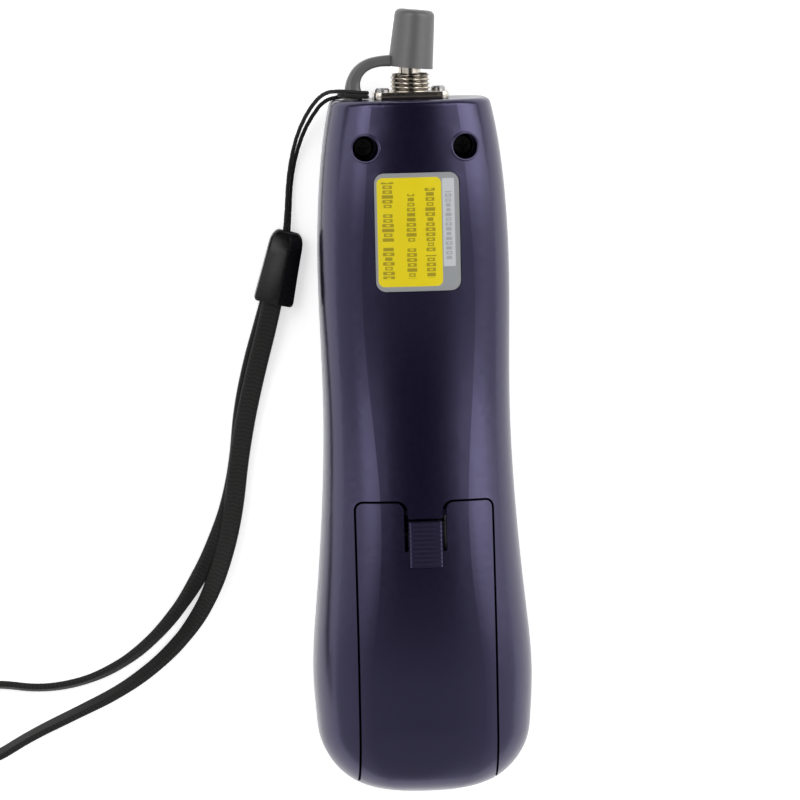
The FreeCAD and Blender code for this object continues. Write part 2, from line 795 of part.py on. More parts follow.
def key_places():
    """(name, x, y) of each key, row by row from the bottom end."""
    names = ("store_key", "reference_key", "unit_key", "wavelength_key", "light_key",
             "power_key")
    for index, name in enumerate(names):
        side = "-" if index % 2 == 0 else ""
        yield name, f"{side}key_x", f"end_y + key_row_low + {index // 2} * key_pitch"


def board_places():
    for x, side in both_sides("board_hole_x"):
        yield side + "_low", x, "end_y + board_hole_low"
        yield side + "_high", x, "top_y - board_hole_drop"


def build_front_shell(forms, skin, seam):
    """The front shell: display opening, key openings and the posts for board and screws."""
    below = block("below_seam", (f"-{FAR}", str(FAR)), (f"-2 * {FAR}", f"2 * {FAR}"),
                  (f"-{FAR}", "axis_z"))
    shell = cut("front_skin", common("front_blank", skin, below), seam)
    posts, tools = [], []
    for x, side in both_sides("screw_x"):
        posts.append(rod(f"screw_post_{side}", "screw_post_radius", "axis_z - wall / 2", x,
                         "screw_y", "wall / 2"))
        tools.append(rod(f"screw_pilot_{side}", "screw_radius + fine_gap", "screw_length", x,
                         "screw_y", "screw_seat_z - screw_length - part_gap"))
    for level in ("low", "high"):
        y = f"end_y + bay_screw_{level}"
        posts.append(rod(f"bay_post_{level}", "screw_post_radius",
                         "bay_floor_z - bay_boss - wall / 2", "0", y, "wall / 2"))
        tools.append(rod(f"bay_pilot_{level}", "screw_radius + fine_gap", "bay_screw_length",
                         "0", y, "bay_floor_z - bay_screw_length - part_gap"))
    for side, x, y in board_places():
        posts.append(rod(f"board_post_{side}", "board_post_radius",
                         "board_front_z - wall / 2", x, y, "wall / 2"))
        tools.append(rod(f"board_pilot_{side}", "board_pilot_radius + fine_gap",
                         "board_screw_length", x, y,
                         "board_back_z - board_screw_length - part_gap"))
    boss, pilot = port_boss("front_port_boss", "port_screw_x", "axis_z - port_screw_z")
    tools.append(plate("window_recess", "window_width + 2 * part_gap",
                       "window_length + 2 * part_gap", "window_sink + window_thick + wall",
                       "window_corner + part_gap", "0", "window_y", "-wall"))
    tools.append(plate("window_opening", "window_width - 2 * window_rim",
                       "window_length - 2 * window_rim", "3 * wall", "window_corner", "0",
                       "window_y", "-wall"))
    for name, x, y in key_places():
        tools.append(plate(name + "_opening", "key_width + 2 * key_gap",
                           "key_length + 2 * key_gap", "3 * wall", "key_corner + key_gap",
                           x, y, "-wall"))
    blank = fuse("front_solid_blank", shell, boss, *posts)
    finish(cut("front_solid", blank, pilot, *tools, *port_holes("front_port")), "front_shell")


def build_housing():
    forms = build_forms()
    skin = cut("skin_form", forms["outer"], forms["cavity"])
    slab = block("seam_slab", (f"-{FAR}", str(FAR)), (f"-2 * {FAR}", f"2 * {FAR}"),
                 ("axis_z - seam_width / 2", "axis_z + seam_width / 2"))
    seam = cut("seam_groove", common("seam_band", forms["outer"], slab), forms["seam"])
    pocket = build_label(forms)
    opening = build_door(forms, skin)
    build_rear_shell(forms, skin, opening, pocket, seam)
    build_front_shell(forms, skin, seam)


# ---------------------------------------------------------------- screws

def screw(name, radius, length, head_radius, head, x, y, seat, along="z"):
    """A pan head screw; seat is where the underside of its head lies."""
    tip = f"{radius} / 4"
    edge = f"{head} / 3"
    top = f"{length} + {head}"
    points = (("0", "0"), (f"{radius} - {tip}", "0"), (radius, tip), (radius, length),
              (head_radius, length), (head_radius, f"{top} - {edge}"),
              (f"{head_radius} - {edge}", top), ("0", top))
    start = {"z": (x, y, f"{seat} - {length}"), "y": (x, f"{y} - {length}", seat)}[along]
    blank = turned(name + "_turned", points, *start, along=along)
    cross = []
    for index, (long_side, short_side) in enumerate((("cross_length", "cross_width"),
                                                     ("cross_width", "cross_length"))):
        span_x = (f"({x}) - {long_side} / 2", f"({x}) + {long_side} / 2")
        if along == "z":
            span_y = (f"({y}) - {short_side} / 2", f"({y}) + {short_side} / 2")
            span_z = (f"({seat}) + {head} - cross_depth", f"({seat}) + {head} + 1")
        else:
            span_y = (f"({y}) + {head} - cross_depth / 2", f"({y}) + {head} + 1")
            span_z = (f"({seat}) - {short_side} / 2", f"({seat}) + {short_side} / 2")
        cross.append(block(f"{name}_cross_{index}", span_x, span_y, span_z))
    return cut(name, blank, *cross)


def build_screws():
    case = [screw(f"case_screw_{side}", "screw_radius", "screw_length", "screw_head_radius",
                  "screw_head", x, "screw_y", "screw_seat_z")
            for x, side in both_sides("screw_x")]
    finish(group("case_screw_pair", case), "case_screws")
    bay = [screw(f"bay_screw_{level}_piece", "screw_radius", "bay_screw_length",
                 "screw_head_radius", "screw_head", "0", f"end_y + bay_screw_{level}",
                 "bay_floor_z") for level in ("low", "high")]
    finish(group("bay_screw_pair", bay), "bay_screws")
    board = [screw(f"board_screw_{side}", "board_pilot_radius", "board_screw_length",
                   "board_head_radius", "board_head", x, y, "board_back_z")
             for side, x, y in board_places()]
    finish(group("board_screw_set", board), "board_screws")
    port = [screw(f"port_screw_{side}", "port_screw_radius", "port_screw_length",
                  "port_screw_head_radius", "port_screw_head", x, "port_face_y", z, "y")
            for side, x, z in (("left", "-port_screw_x", "axis_z + port_screw_z"),
                               ("right", "port_screw_x", "axis_z - port_screw_z"))]
    finish(group("port_screw_pair", port), "port_screws")


# ---------------------------------------------------------------- battery bay contents

def build_cell(label, x, start, along):
    points = (("0", "0"), ("cell_radius", "0"), ("cell_radius", "cell_length - cell_nub_length"),
              ("cell_nub_radius", "cell_length - cell_nub_length"),
              ("cell_nub_radius", "cell_length"), ("0", "cell_length"))
    finish(turned(label + "_body", points, x, start, "cell_z", along), label)


def coil_spring(x, y, up):
    """One compression spring along Y, from its plate to a cell's flat end."""
    wire = number("spring_wire")
    rise = number("spring_length") - wire
    radius = number("spring_radius")
    helix = Part.makeHelix(number("spring_pitch"), rise, radius)
    circle = Part.Wire(Part.Circle(vector(radius, 0, 0), vector(0, 1, 0), wire / 2).toShape())
    coil = Part.Wire(helix).makePipeShell([circle], True, True)
    coil.translate(vector(0, 0, wire / 2))
    coil.rotate(vector(0, 0, 0), vector(1, 0, 0), -90)
    if not up:
        coil.rotate(vector(0, 0, 0), vector(0, 0, 1), 180)
    coil.translate(vector(number(x), number(y), number("cell_z")))
    return coil


def build_contacts():
    half = "cell_spacing / 2"
    low_z = "bay_top_z + part_gap"
    span_z = (low_z, f"{low_z} + contact_height")
    bridge = block("bridge_plate", (f"-({half}) - contact_width / 2",
                                    f"{half} + contact_width / 2"),
                   ("bay_low_y", "bay_low_y + contact_thick"), span_z)
    finish(bridge, "bridge_contact")
    plates = []
    for x, side in both_sides(half):
        face = block(f"end_plate_{side}", (f"({x}) - contact_width / 2",
                                           f"({x}) + contact_width / 2"),
                     ("bay_high_y - contact_thick", "bay_high_y"), span_z)
        tail = block(f"end_tail_{side}", (f"({x}) - tail_width / 2", f"({x}) + tail_width / 2"),
                     ("bay_high_y - contact_thick", "bay_high_y"),
                     ("board_back_z + fine_gap", f"{low_z} + contact_thick"))
        plates.append(fuse(f"end_contact_{side}", face, tail))
    finish(group("end_contact_pair", plates), "end_contacts")
    springs = (coil_spring(half, "bay_low_y + contact_thick", True),
               coil_spring(f"-({half})", "bay_high_y - contact_thick", False))
    finish(solid("spring_pair", Part.makeCompound(springs)), "contact_springs")


def build_bay_contents():
    play = "(contact_thick + spring_length)"
    build_cell("right_cell", "cell_spacing / 2", f"bay_low_y + {play}", "y")
    build_cell("left_cell", "-cell_spacing / 2", f"bay_high_y - {play}", "-y")
    build_contacts()


# ---------------------------------------------------------------- board, display and keys

def build_board():
    """One board: wide under keys and display, with a neck between the top screw posts."""
    body = new_body("board_body", "-board_width / 2", "board_low_y", "board_front_z")
    sketch = new_sketch(body, "board_outline")
    full = "body_length - board_start - board_neck_drop"
    main = "body_length - board_start - board_end_drop"
    side = "(board_width - board_neck_width) / 2"
    draw_outline(sketch, (("0", "0"), ("board_width", "0"), ("board_width", main),
                          (f"board_width - {side}", main), (f"board_width - {side}", full),
                          (side, full), (side, main), ("0", main)))
    pad(body, "board_pad", sketch, "board_thick")
    holes = [rod(f"board_hole_{where}", "board_pilot_radius + part_gap", "2 * board_thick",
                 x, y, "board_front_z - board_thick / 2") for where, x, y in board_places()]
    holes += [rod(f"board_boss_hole_{level}", "bay_boss_radius + part_gap", "2 * board_thick",
                  "0", f"end_y + bay_screw_{level}", "board_front_z - board_thick / 2")
              for level in ("low", "high")]
    finish(cut("board_solid", body, *holes), "circuit_board")
    chip = plate("chip_body", "chip_side", "chip_side", "chip_height", "chip_corner", "0",
                 "end_y + chip_at", "board_back_z")
    finish(chip, "main_chip")
    y = "top_y - shield_drop"
    amplifier = plate("amplifier_body", "amplifier_width", "amplifier_length", "chip_height",
                      "chip_corner", "0", y, "board_back_z")
    finish(amplifier, "amplifier_chip")
    can = plate("shield_block", "shield_width", "shield_length", "shield_height",
                "shield_corner", "0", y, "board_back_z")
    inside = block("shield_inside", ("shield_wall - shield_width / 2",
                                     "shield_width / 2 - shield_wall"),
                   (f"{y} - shield_length / 2 + shield_wall",
                    f"{y} + shield_length / 2 - shield_wall"),
                   ("board_front_z", "board_back_z + shield_height - shield_wall"))
    finish(cut("shield_solid", can, inside), "shield_can")


def build_display():
    window = plate("window_plate", "window_width", "window_length", "window_thick",
                   "window_corner", "0", "window_y", "window_sink")
    finish(window, "display_window")

    def centred(name, width, length, low, high):
        return block(name, (f"-({width}) / 2", f"({width}) / 2"),
                     (f"window_y - ({length}) / 2", f"window_y + ({length}) / 2"), (low, high))

    panel_top = "panel_z + panel_thick"
    finish(centred("panel_block", "panel_width", "panel_length", "panel_z", panel_top),
           "lcd_panel")
    inner = "2 * panel_gap"
    outer = "2 * panel_gap + 2 * lcd_holder_wall"
    frame = centred("holder_block", f"panel_width + {outer}", f"panel_length + {outer}",
                    "panel_z", "board_front_z")
    hollow = centred("holder_hollow", f"panel_width + {inner}", f"panel_length + {inner}",
                     "0", "board_back_z")
    finish(cut("holder_frame", frame, hollow), "lcd_holder")
    strips = []
    for sign, end in (("-", "low"), ("+", "high")):
        middle = f"window_y {sign} (panel_length - strip_width) / 2"
        strips.append(block(f"strip_{end}", ("-panel_width / 2", "panel_width / 2"),
                            (f"{middle} - strip_width / 2", f"{middle} + strip_width / 2"),
                            (panel_top, "board_front_z")))
    finish(group("strip_pair", strips), "zebra_strips")
    finish(centred("backlight_block", "panel_width - 2 * panel_inset",
                   "panel_length - 2 * backlight_inset", panel_top,
                   f"{panel_top} + backlight_thick"), "backlight")


def build_keys():
    for name, x, y in key_places():
        cap = plate(name + "_cap", "key_width", "key_length", "key_seat_z - key_sink",
                    "key_corner", x, y, "key_sink")
        flange = plate(name + "_flange", "key_width + 2 * key_flange",
                       "key_length + 2 * key_flange", "key_flange_thick", "key_corner",
                       x, y, "key_seat_z")
        stem = rod(name + "_stem", "key_stem_radius",
                   "switch_z - key_travel - key_play - key_seat_z", x, y, "key_seat_z")
        finish(fuse(name + "_solid", cap, flange, stem), name)
    switches = [block(name + "_switch", (f"({x}) - switch_side / 2", f"({x}) + switch_side / 2"),
                      (f"({y}) - switch_side / 2", f"({y}) + switch_side / 2"),
                      ("switch_z", "board_front_z")) for name, x, y in key_places()]
    finish(group("switch_set", switches), "key_switches")


# ---------------------------------------------------------------- fibre port

def build_port():
    """The threaded receptacle with its flange, the ferrule sleeve and the detector."""
    face = "port_spigot_length"
    thread = f"{face} + thread_end"
    neck = f"{face} + neck_end"
    well = f"{thread} - thread_well"
    seat = f"{neck} - port_mouth - sleeve_length"
    barrel = turned("port_barrel", (
        ("light_radius", "0"), ("port_tail_radius", "0"), ("port_tail_radius", "holder_grip"),
        ("port_spigot_radius", "holder_grip"), ("port_spigot_radius", face),
        ("thread_radius", face), ("thread_radius", f"{thread} - thread_chamfer"),
        ("thread_radius - thread_chamfer", thread), ("thread_well_radius", thread),
        ("thread_well_radius", well), ("neck_radius", well),
        ("neck_radius", f"{neck} - neck_chamfer"), ("neck_radius - neck_chamfer", neck),
        ("sleeve_radius", neck), ("sleeve_radius", seat), ("light_radius", seat),
    ), "0", "top_y - port_spigot_length", "axis_z")
    flange = plate("port_flange", "port_flange_width", "port_flange_height",
                   "port_flange_thick", "port_flange_corner", "0", "top_y", "axis_z", "y")
    tools = [rod("port_flange_bore", "port_spigot_radius - fine_gap", "3 * port_flange_thick",
                 "0", "top_y - port_flange_thick", "axis_z", "y")]
    ring = cut("port_flange_ring", flange, *tools)
    holes = [rod(f"port_screw_hole_{side}", "port_screw_radius + slide_gap",
                 "3 * port_flange_thick", x, "top_y - port_flange_thick", z, "y")
             for side, x, z in (("left", "-port_screw_x", "axis_z + port_screw_z"),
                                ("right", "port_screw_x", "axis_z - port_screw_z"))]
    finish(cut("port_solid", fuse("port_blank", barrel, ring), *holes), "fc_receptacle")

    sleeve = turned("sleeve_ring", (
        ("ferrule_radius", "0"), ("sleeve_radius - fine_gap", "0"),
        ("sleeve_radius - fine_gap", "sleeve_length - fine_gap"),
        ("ferrule_radius", "sleeve_length - fine_gap"),
    ), "0", "top_y + neck_end - port_mouth - sleeve_length", "axis_z")
    finish(sleeve, "ferrule_sleeve")

    end = "top_y - port_spigot_length + holder_grip"
    body = block("holder_blank", ("-holder_width / 2", "holder_width / 2"),
                 (f"{end} - holder_length", end), ("board_back_z", "board_back_z + holder_height"))
    grip = rod("holder_grip_bore", "port_tail_radius + fine_gap", "2 * holder_grip", "0",
               f"{end} - holder_grip", "axis_z", "y")
    bore = rod("holder_bore", "diode_rim_radius + fine_gap", "2 * holder_length", "0",
               f"{end} - 1.5 * holder_length", "axis_z", "y")
    finish(cut("holder_solid", body, grip, bore), "detector_holder")

    start = "top_y - port_spigot_length - part_gap - diode_length - diode_rim"
    can = turned("diode_can", (
        ("0", "0"), ("diode_rim_radius", "0"), ("diode_rim_radius", "diode_rim"),
        ("diode_radius", "diode_rim"), ("diode_radius", "diode_rim + diode_length"),
        ("0", "diode_rim + diode_length"),
    ), "0", start, "axis_z")
    leads = [rod(f"diode_lead_{name}", "lead_radius", "lead_length + diode_rim / 2",
                 f"{across} * lead_circle", f"{start} + diode_rim / 2",
                 f"axis_z + {up} * lead_circle", "-y")
             for name, across, up in (("left", "-1", "0"), ("right", "1", "0"),
                                      ("top", "0", "1"))]
    finish(fuse("diode_solid", can, *leads), "photodiode")


# ---------------------------------------------------------------- dust cap and tether

def build_cap():
    cap = turned("cap_body", (
        ("cap_bore_radius", "0"), ("cap_base_radius", "0"), ("cap_top_radius", "cap_length"),
        ("0", "cap_length"), ("0", "cap_bore"), ("cap_bore_radius", "cap_bore"),
    ), "cap_shift", "cap_y", "axis_z", lean=number("cap_lean"))
    height = number("cap_length")
    round_edges(cap, "cap_top_round", "cap_round",
                lambda edge: edge.BoundBox.YMin > height - 1e-3
                and edge.BoundBox.XLength > 1e-3)
    finish(cap, "dust_cap")


def build_tether():
    """A rubber strap from the cap's rim round a bend to a foot in the top wall."""
    half = "tether_thick / 2"
    width = ("axis_z - tether_width / 2", "axis_z + tether_width / 2")
    bend_x = "foot_x + tether_bend"
    bend_y = "tether_y - tether_bend"
    run = block("tether_run", (bend_x, "-tether_root"),
                (f"tether_y - {half}", f"tether_y + {half}"), width)
    outside = rod("tether_outside", f"tether_bend + {half}", "tether_width", bend_x, bend_y,
                  width[0])
    inside = rod("tether_inside", f"tether_bend - {half}", "2 * tether_width", bend_x, bend_y,
                 "axis_z - tether_width")
    quarter = block("tether_quarter", (f"{bend_x} - 2 * tether_bend", bend_x),
                    (bend_y, f"{bend_y} + 2 * tether_bend"),
                    ("axis_z - tether_width", "axis_z + tether_width"))
    bend = common("tether_bend_piece", cut("tether_ring", outside, inside), quarter)
    drop = block("tether_drop", (f"foot_x - {half}", f"foot_x + {half}"),
                 ("top_y + foot_height - tether_thick / 4", bend_y), width)
    foot = cone("tether_foot", "foot_base_radius", "foot_neck_radius", "foot_height",
                "foot_x", "top_y", "axis_z", "y")
    peg = rod("tether_peg", "foot_peg_radius", "wall + foot_barb / 2 + part_gap", "foot_x",
              "top_y - wall - foot_barb / 2 - part_gap", "axis_z", "y")
    barb = rod("tether_barb", "foot_barb_radius", "foot_barb", "foot_x",
               "top_y - wall - part_gap - foot_barb", "axis_z", "y")
    cap_clear = turned("tether_cap_clear", (
        ("0", "0"), ("cap_base_radius + fine_gap", "0"),
        ("cap_top_radius + fine_gap", "cap_length"), ("0", "cap_length"),
    ), "cap_shift", "cap_y", "axis_z", lean=number("cap_lean"))
    blank = fuse("tether_blank", run, bend, drop, foot, peg, barb)
    finish(cut("tether_solid", blank, cap_clear), "cap_tether")


# ---------------------------------------------------------------- wrist strap

def route_wire(name, points):
    """Straight runs joined by tangent arcs as large as the runs allow; prints the radii."""
    spots = [vector(*point) for point in points]
    edges, radii = [], []
    start = spots[0]
    for before, corner, after in zip(spots, spots[1:], spots[2:]):
        run_in, run_out = corner - before, after - corner
        short = min(run_in.Length, run_out.Length)
        run_in.normalize()
        run_out.normalize()
        turn = run_in.getAngle(run_out)
        reach = 0.45 * short
        radius = reach / math.tan(turn / 2)
        radii.append(radius)
        inward = (run_out - run_in).normalize()
        middle = corner + inward * (radius / math.cos(turn / 2) - radius)
        arc_start, arc_end = corner - run_in * reach, corner + run_out * reach
        edges.append(Part.LineSegment(start, arc_start).toShape())
        edges.append(Part.Arc(arc_start, middle, arc_end).toShape())
        start = arc_end
    edges.append(Part.LineSegment(start, spots[-1]).toShape())
    wire = Part.Wire(edges)
    print(name, "length", round(wire.Length, 1), "radii", [round(item, 1) for item in radii])
    return wire


def report_volume(name, shape, area, wire):
    share = shape.Volume / (area * wire.Length)
    print(name, "volume over section times length", round(share, 4))


def round_cord(name, points, radius):
    """A round cord along a route."""
    wire = route_wire(name, points)
    start = vector(*points[0])
    circle = Part.Circle(start, vector(*points[1]) - start, radius)
    shape = wire.makePipeShell([Part.Wire(circle.toShape())], True, False)
    report_volume(name, shape, math.pi * radius ** 2, wire)
    return shape


def flat_webbing(name, points, width, thick):
    """A flat webbing along a route, its width kept level."""
    wire = route_wire(name, points)
    start = vector(*points[0])
    heading = vector(*points[1]) - start
    side = heading.cross(vector(0, 0, 1)).normalize() * (width / 2)
    rise = side.cross(heading).normalize() * (thick / 2)
    corners = [start - side - rise, start + side - rise, start + side + rise,
               start - side + rise]
    builder = Part.BRepOffsetAPI.MakePipeShell(wire)
    builder.setBiNormalMode(vector(0, 0, 1))
    builder.add(Part.makePolygon(corners + corners[:1]))
    builder.build()
    builder.makeSolid()
    report_volume(name, builder.shape(), width * thick, wire)
    return builder.shape()


def build_clasp():
    """A moulded clasp: narrow at the cord, flared at the webbing, with an eye and a mouth."""
    body = new_body("clasp_body", "-clasp_width / 2", "-clasp_length", "0")
    sketch = new_sketch(body, "clasp_outline")
    flare = "clasp_flare"
    shoulder = "clasp_length - clasp_shoulder"
    draw_outline(sketch, (
        ("0", "0"), ("clasp_width", "0"), (f"clasp_width - {flare}", shoulder),
        ("(clasp_width + clasp_neck_width) / 2", "clasp_length"),
        ("(clasp_width - clasp_neck_width) / 2", "clasp_length"), (flare, shoulder)))
    pad(body, "clasp_pad", sketch, "clasp_height")
    top = number("clasp_height")
    round_edges(body, "clasp_round_edges", "clasp_round",
                lambda edge: edge.BoundBox.ZLength < 1e-4 and edge.BoundBox.ZMin > top - 1e-3)
    mouth = block("clasp_mouth", ("-webbing_width / 2 - 2 * part_gap",
                                  "webbing_width / 2 + 2 * part_gap"),
                  ("-clasp_length - 1", "clasp_mouth_depth - clasp_length"),
                  ("(clasp_height - clasp_mouth_height) / 2",
                   "(clasp_height + clasp_mouth_height) / 2"))
    eye = block("clasp_eye", ("-clasp_eye_width / 2", "clasp_eye_width / 2"),
                ("-clasp_eye_depth", "1"),
                ("(clasp_height - clasp_eye_height) / 2",
                 "(clasp_height + clasp_eye_height) / 2"))
    clasp = cut("clasp_solid", body, mouth, eye)
    clasp.Placement = FreeCAD.Placement(vector(0, 0, 0),
                                        FreeCAD.Rotation(vector(0, 0, 1), number("clasp_turn")))
    for prop, rule in base("clasp_x", "clasp_top", "0").items():
        clasp.setExpression(prop, formula(rule))
    finish(clasp, "strap_clasp")


def build_strap():
    cord = round_cord("lanyard_cord", CORD_ROUTE, number("cord_radius"))
    finish(solid("cord_solid", cord), "lanyard_cord")
    webbing = flat_webbing("wrist_webbing", WEBBING_ROUTE, number("webbing_width"),
                           number("webbing_thick"))
    finish(solid("webbing_solid", webbing), "wrist_webbing")
    build_clasp()


def check_document():
    """Stop if any object failed, or a sub-part is empty, open or invalid."""
    doc.recompute()
    for item in doc.Objects:
        if "Invalid" in item.State or "Error" in item.State:
            raise RuntimeError(f"{item.Name} failed: {item.State}")
    for item in finished:
        shape = item.Shape
        if shape.isNull() or not shape.isValid() or not shape.Solids:
            raise RuntimeError(f"{item.Label} has no valid solid")
        print(item.Label, "solids", len(shape.Solids), "volume", round(shape.Volume, 2))


def write_parts():
    os.makedirs("parts", exist_ok=True)
    for item in finished:
        item.Shape.exportStep(f"parts/{item.Label}.step")


fill_sheet()
build_housing()
build_screws()
build_bay_contents()
build_board()
build_display()
build_keys()
build_port()
build_cap()
build_tether()
build_strap()
check_document()
write_parts()
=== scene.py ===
"""An optical power meter lying face down, with its wrist strap beside it."""

import json
import math

import bmesh
import bpy
from mathutils import Matrix, Vector
from mathutils.bvhtree import BVHTree
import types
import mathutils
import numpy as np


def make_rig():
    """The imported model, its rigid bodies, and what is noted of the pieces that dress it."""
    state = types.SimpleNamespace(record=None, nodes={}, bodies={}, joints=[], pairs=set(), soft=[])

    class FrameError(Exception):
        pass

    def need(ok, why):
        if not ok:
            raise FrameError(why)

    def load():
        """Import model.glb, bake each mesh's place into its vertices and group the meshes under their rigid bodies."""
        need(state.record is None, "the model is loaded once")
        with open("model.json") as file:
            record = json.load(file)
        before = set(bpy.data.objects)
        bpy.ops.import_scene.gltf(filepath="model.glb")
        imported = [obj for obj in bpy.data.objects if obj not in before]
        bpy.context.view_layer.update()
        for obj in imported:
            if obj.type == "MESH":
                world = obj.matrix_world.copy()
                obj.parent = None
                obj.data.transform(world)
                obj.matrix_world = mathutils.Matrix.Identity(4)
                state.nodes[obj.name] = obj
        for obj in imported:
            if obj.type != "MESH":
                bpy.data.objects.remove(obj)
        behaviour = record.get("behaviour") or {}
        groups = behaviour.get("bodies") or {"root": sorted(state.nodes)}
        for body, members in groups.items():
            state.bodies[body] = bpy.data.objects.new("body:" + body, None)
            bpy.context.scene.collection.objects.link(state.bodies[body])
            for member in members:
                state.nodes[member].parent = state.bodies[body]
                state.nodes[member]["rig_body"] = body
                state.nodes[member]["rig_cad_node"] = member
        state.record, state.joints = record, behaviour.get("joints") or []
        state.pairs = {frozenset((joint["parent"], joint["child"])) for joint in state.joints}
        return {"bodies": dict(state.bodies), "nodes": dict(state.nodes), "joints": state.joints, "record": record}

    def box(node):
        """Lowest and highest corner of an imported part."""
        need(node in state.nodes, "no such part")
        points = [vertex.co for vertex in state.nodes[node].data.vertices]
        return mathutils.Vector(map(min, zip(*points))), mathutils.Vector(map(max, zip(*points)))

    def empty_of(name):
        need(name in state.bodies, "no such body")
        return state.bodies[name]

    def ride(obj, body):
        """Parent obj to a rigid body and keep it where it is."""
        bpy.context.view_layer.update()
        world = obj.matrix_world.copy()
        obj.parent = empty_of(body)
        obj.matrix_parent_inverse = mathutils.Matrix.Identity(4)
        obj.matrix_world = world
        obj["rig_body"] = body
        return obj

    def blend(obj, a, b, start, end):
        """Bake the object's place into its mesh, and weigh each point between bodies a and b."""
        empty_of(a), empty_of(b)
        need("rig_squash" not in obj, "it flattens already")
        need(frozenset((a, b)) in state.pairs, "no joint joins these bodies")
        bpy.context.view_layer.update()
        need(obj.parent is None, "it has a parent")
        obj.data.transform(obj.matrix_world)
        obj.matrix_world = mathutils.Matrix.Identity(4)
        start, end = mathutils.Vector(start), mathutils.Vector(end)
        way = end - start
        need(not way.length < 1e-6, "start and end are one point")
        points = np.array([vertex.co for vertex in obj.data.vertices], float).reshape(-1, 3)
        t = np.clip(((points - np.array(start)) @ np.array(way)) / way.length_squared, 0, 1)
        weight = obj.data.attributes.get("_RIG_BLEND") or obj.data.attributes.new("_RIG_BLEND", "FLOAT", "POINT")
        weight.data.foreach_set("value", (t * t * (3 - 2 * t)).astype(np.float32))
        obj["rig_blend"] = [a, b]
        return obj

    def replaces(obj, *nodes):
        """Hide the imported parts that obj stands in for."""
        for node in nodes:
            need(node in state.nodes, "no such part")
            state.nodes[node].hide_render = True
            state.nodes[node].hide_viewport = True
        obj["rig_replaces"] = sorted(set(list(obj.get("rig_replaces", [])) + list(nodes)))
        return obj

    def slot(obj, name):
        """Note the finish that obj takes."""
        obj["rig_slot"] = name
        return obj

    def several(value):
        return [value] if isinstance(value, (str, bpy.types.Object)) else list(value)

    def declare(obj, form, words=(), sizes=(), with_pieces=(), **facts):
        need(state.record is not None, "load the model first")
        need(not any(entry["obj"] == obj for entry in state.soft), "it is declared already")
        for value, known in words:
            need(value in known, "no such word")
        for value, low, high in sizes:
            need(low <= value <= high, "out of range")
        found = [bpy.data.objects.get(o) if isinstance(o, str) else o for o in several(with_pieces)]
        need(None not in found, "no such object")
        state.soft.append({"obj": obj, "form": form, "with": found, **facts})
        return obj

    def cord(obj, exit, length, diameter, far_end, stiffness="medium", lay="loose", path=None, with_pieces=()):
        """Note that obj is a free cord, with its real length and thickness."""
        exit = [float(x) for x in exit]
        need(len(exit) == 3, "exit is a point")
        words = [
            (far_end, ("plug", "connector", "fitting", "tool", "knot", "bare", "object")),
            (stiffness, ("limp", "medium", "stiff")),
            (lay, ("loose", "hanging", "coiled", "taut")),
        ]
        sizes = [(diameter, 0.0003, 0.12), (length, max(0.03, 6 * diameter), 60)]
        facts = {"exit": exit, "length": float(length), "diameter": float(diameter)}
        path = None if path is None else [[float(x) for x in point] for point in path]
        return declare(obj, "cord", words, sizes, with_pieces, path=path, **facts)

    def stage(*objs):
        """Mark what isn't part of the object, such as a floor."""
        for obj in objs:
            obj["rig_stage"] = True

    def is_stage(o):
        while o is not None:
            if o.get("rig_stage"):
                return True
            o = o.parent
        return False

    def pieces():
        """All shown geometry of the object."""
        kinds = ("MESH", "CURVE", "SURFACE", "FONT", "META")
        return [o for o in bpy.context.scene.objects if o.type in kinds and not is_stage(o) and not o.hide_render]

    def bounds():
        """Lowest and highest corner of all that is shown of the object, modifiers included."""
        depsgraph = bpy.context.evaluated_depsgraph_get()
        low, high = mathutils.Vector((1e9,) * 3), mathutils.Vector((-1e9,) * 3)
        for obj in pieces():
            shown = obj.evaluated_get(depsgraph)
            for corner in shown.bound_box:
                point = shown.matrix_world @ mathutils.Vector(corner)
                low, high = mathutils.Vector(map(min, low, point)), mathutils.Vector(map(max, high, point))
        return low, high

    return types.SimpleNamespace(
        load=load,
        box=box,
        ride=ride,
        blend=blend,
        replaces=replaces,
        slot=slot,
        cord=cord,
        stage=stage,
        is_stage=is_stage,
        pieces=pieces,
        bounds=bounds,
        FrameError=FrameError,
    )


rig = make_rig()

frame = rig.load()
cad_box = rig.bounds()

MM = 0.001
NODES = frame["nodes"]


def mm(x, y, z):
    return Vector((x * MM, y * MM, z * MM))


def box_mm(node_name):
    """Lowest and highest corner of a CAD node, in millimetres."""
    low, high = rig.box(node_name)
    return low / MM, high / MM


_, FRONT_HIGH = box_mm("front_shell")
SEAM_Z = FRONT_HIGH.z              # height of the line between the two shells
TOP_Y = FRONT_HIGH.y               # place of the housing's top wall


# ---------------------------------------------------------------- camera

AIM = mm(-3.45, 9.28, SEAM_Z)
VIEW_WIDTH = 160.0 * MM
VIEW_DISTANCE = 1.4
SENSOR = 36.0
LEAN_LEFT = math.radians(4.5)
LEAN_TOP = math.radians(5.0)
FRAME_UP = Vector((0.02325, 0.99973, 0.0))


def build_camera():
    """A long lens over the back, leaning a little to the left and to the top."""
    data = bpy.data.cameras.new("camera")
    data.sensor_width = SENSOR
    data.lens = SENSOR * VIEW_DISTANCE / VIEW_WIDTH
    camera = bpy.data.objects.new("camera", data)
    bpy.context.scene.collection.objects.link(camera)
    back = Vector((-math.tan(LEAN_LEFT), math.tan(LEAN_TOP), 1.0)).normalized()
    up = (FRAME_UP - back * FRAME_UP.dot(back)).normalized()
    right = up.cross(back)
    turn = Matrix((right, up, back)).transposed().to_4x4()
    camera.matrix_world = Matrix.Translation(AIM + back * VIEW_DISTANCE) @ turn
    bpy.context.scene.camera = camera


build_camera()
bpy.context.scene.view_settings.view_transform = "Standard"


# ---------------------------------------------------------------- nodes for materials

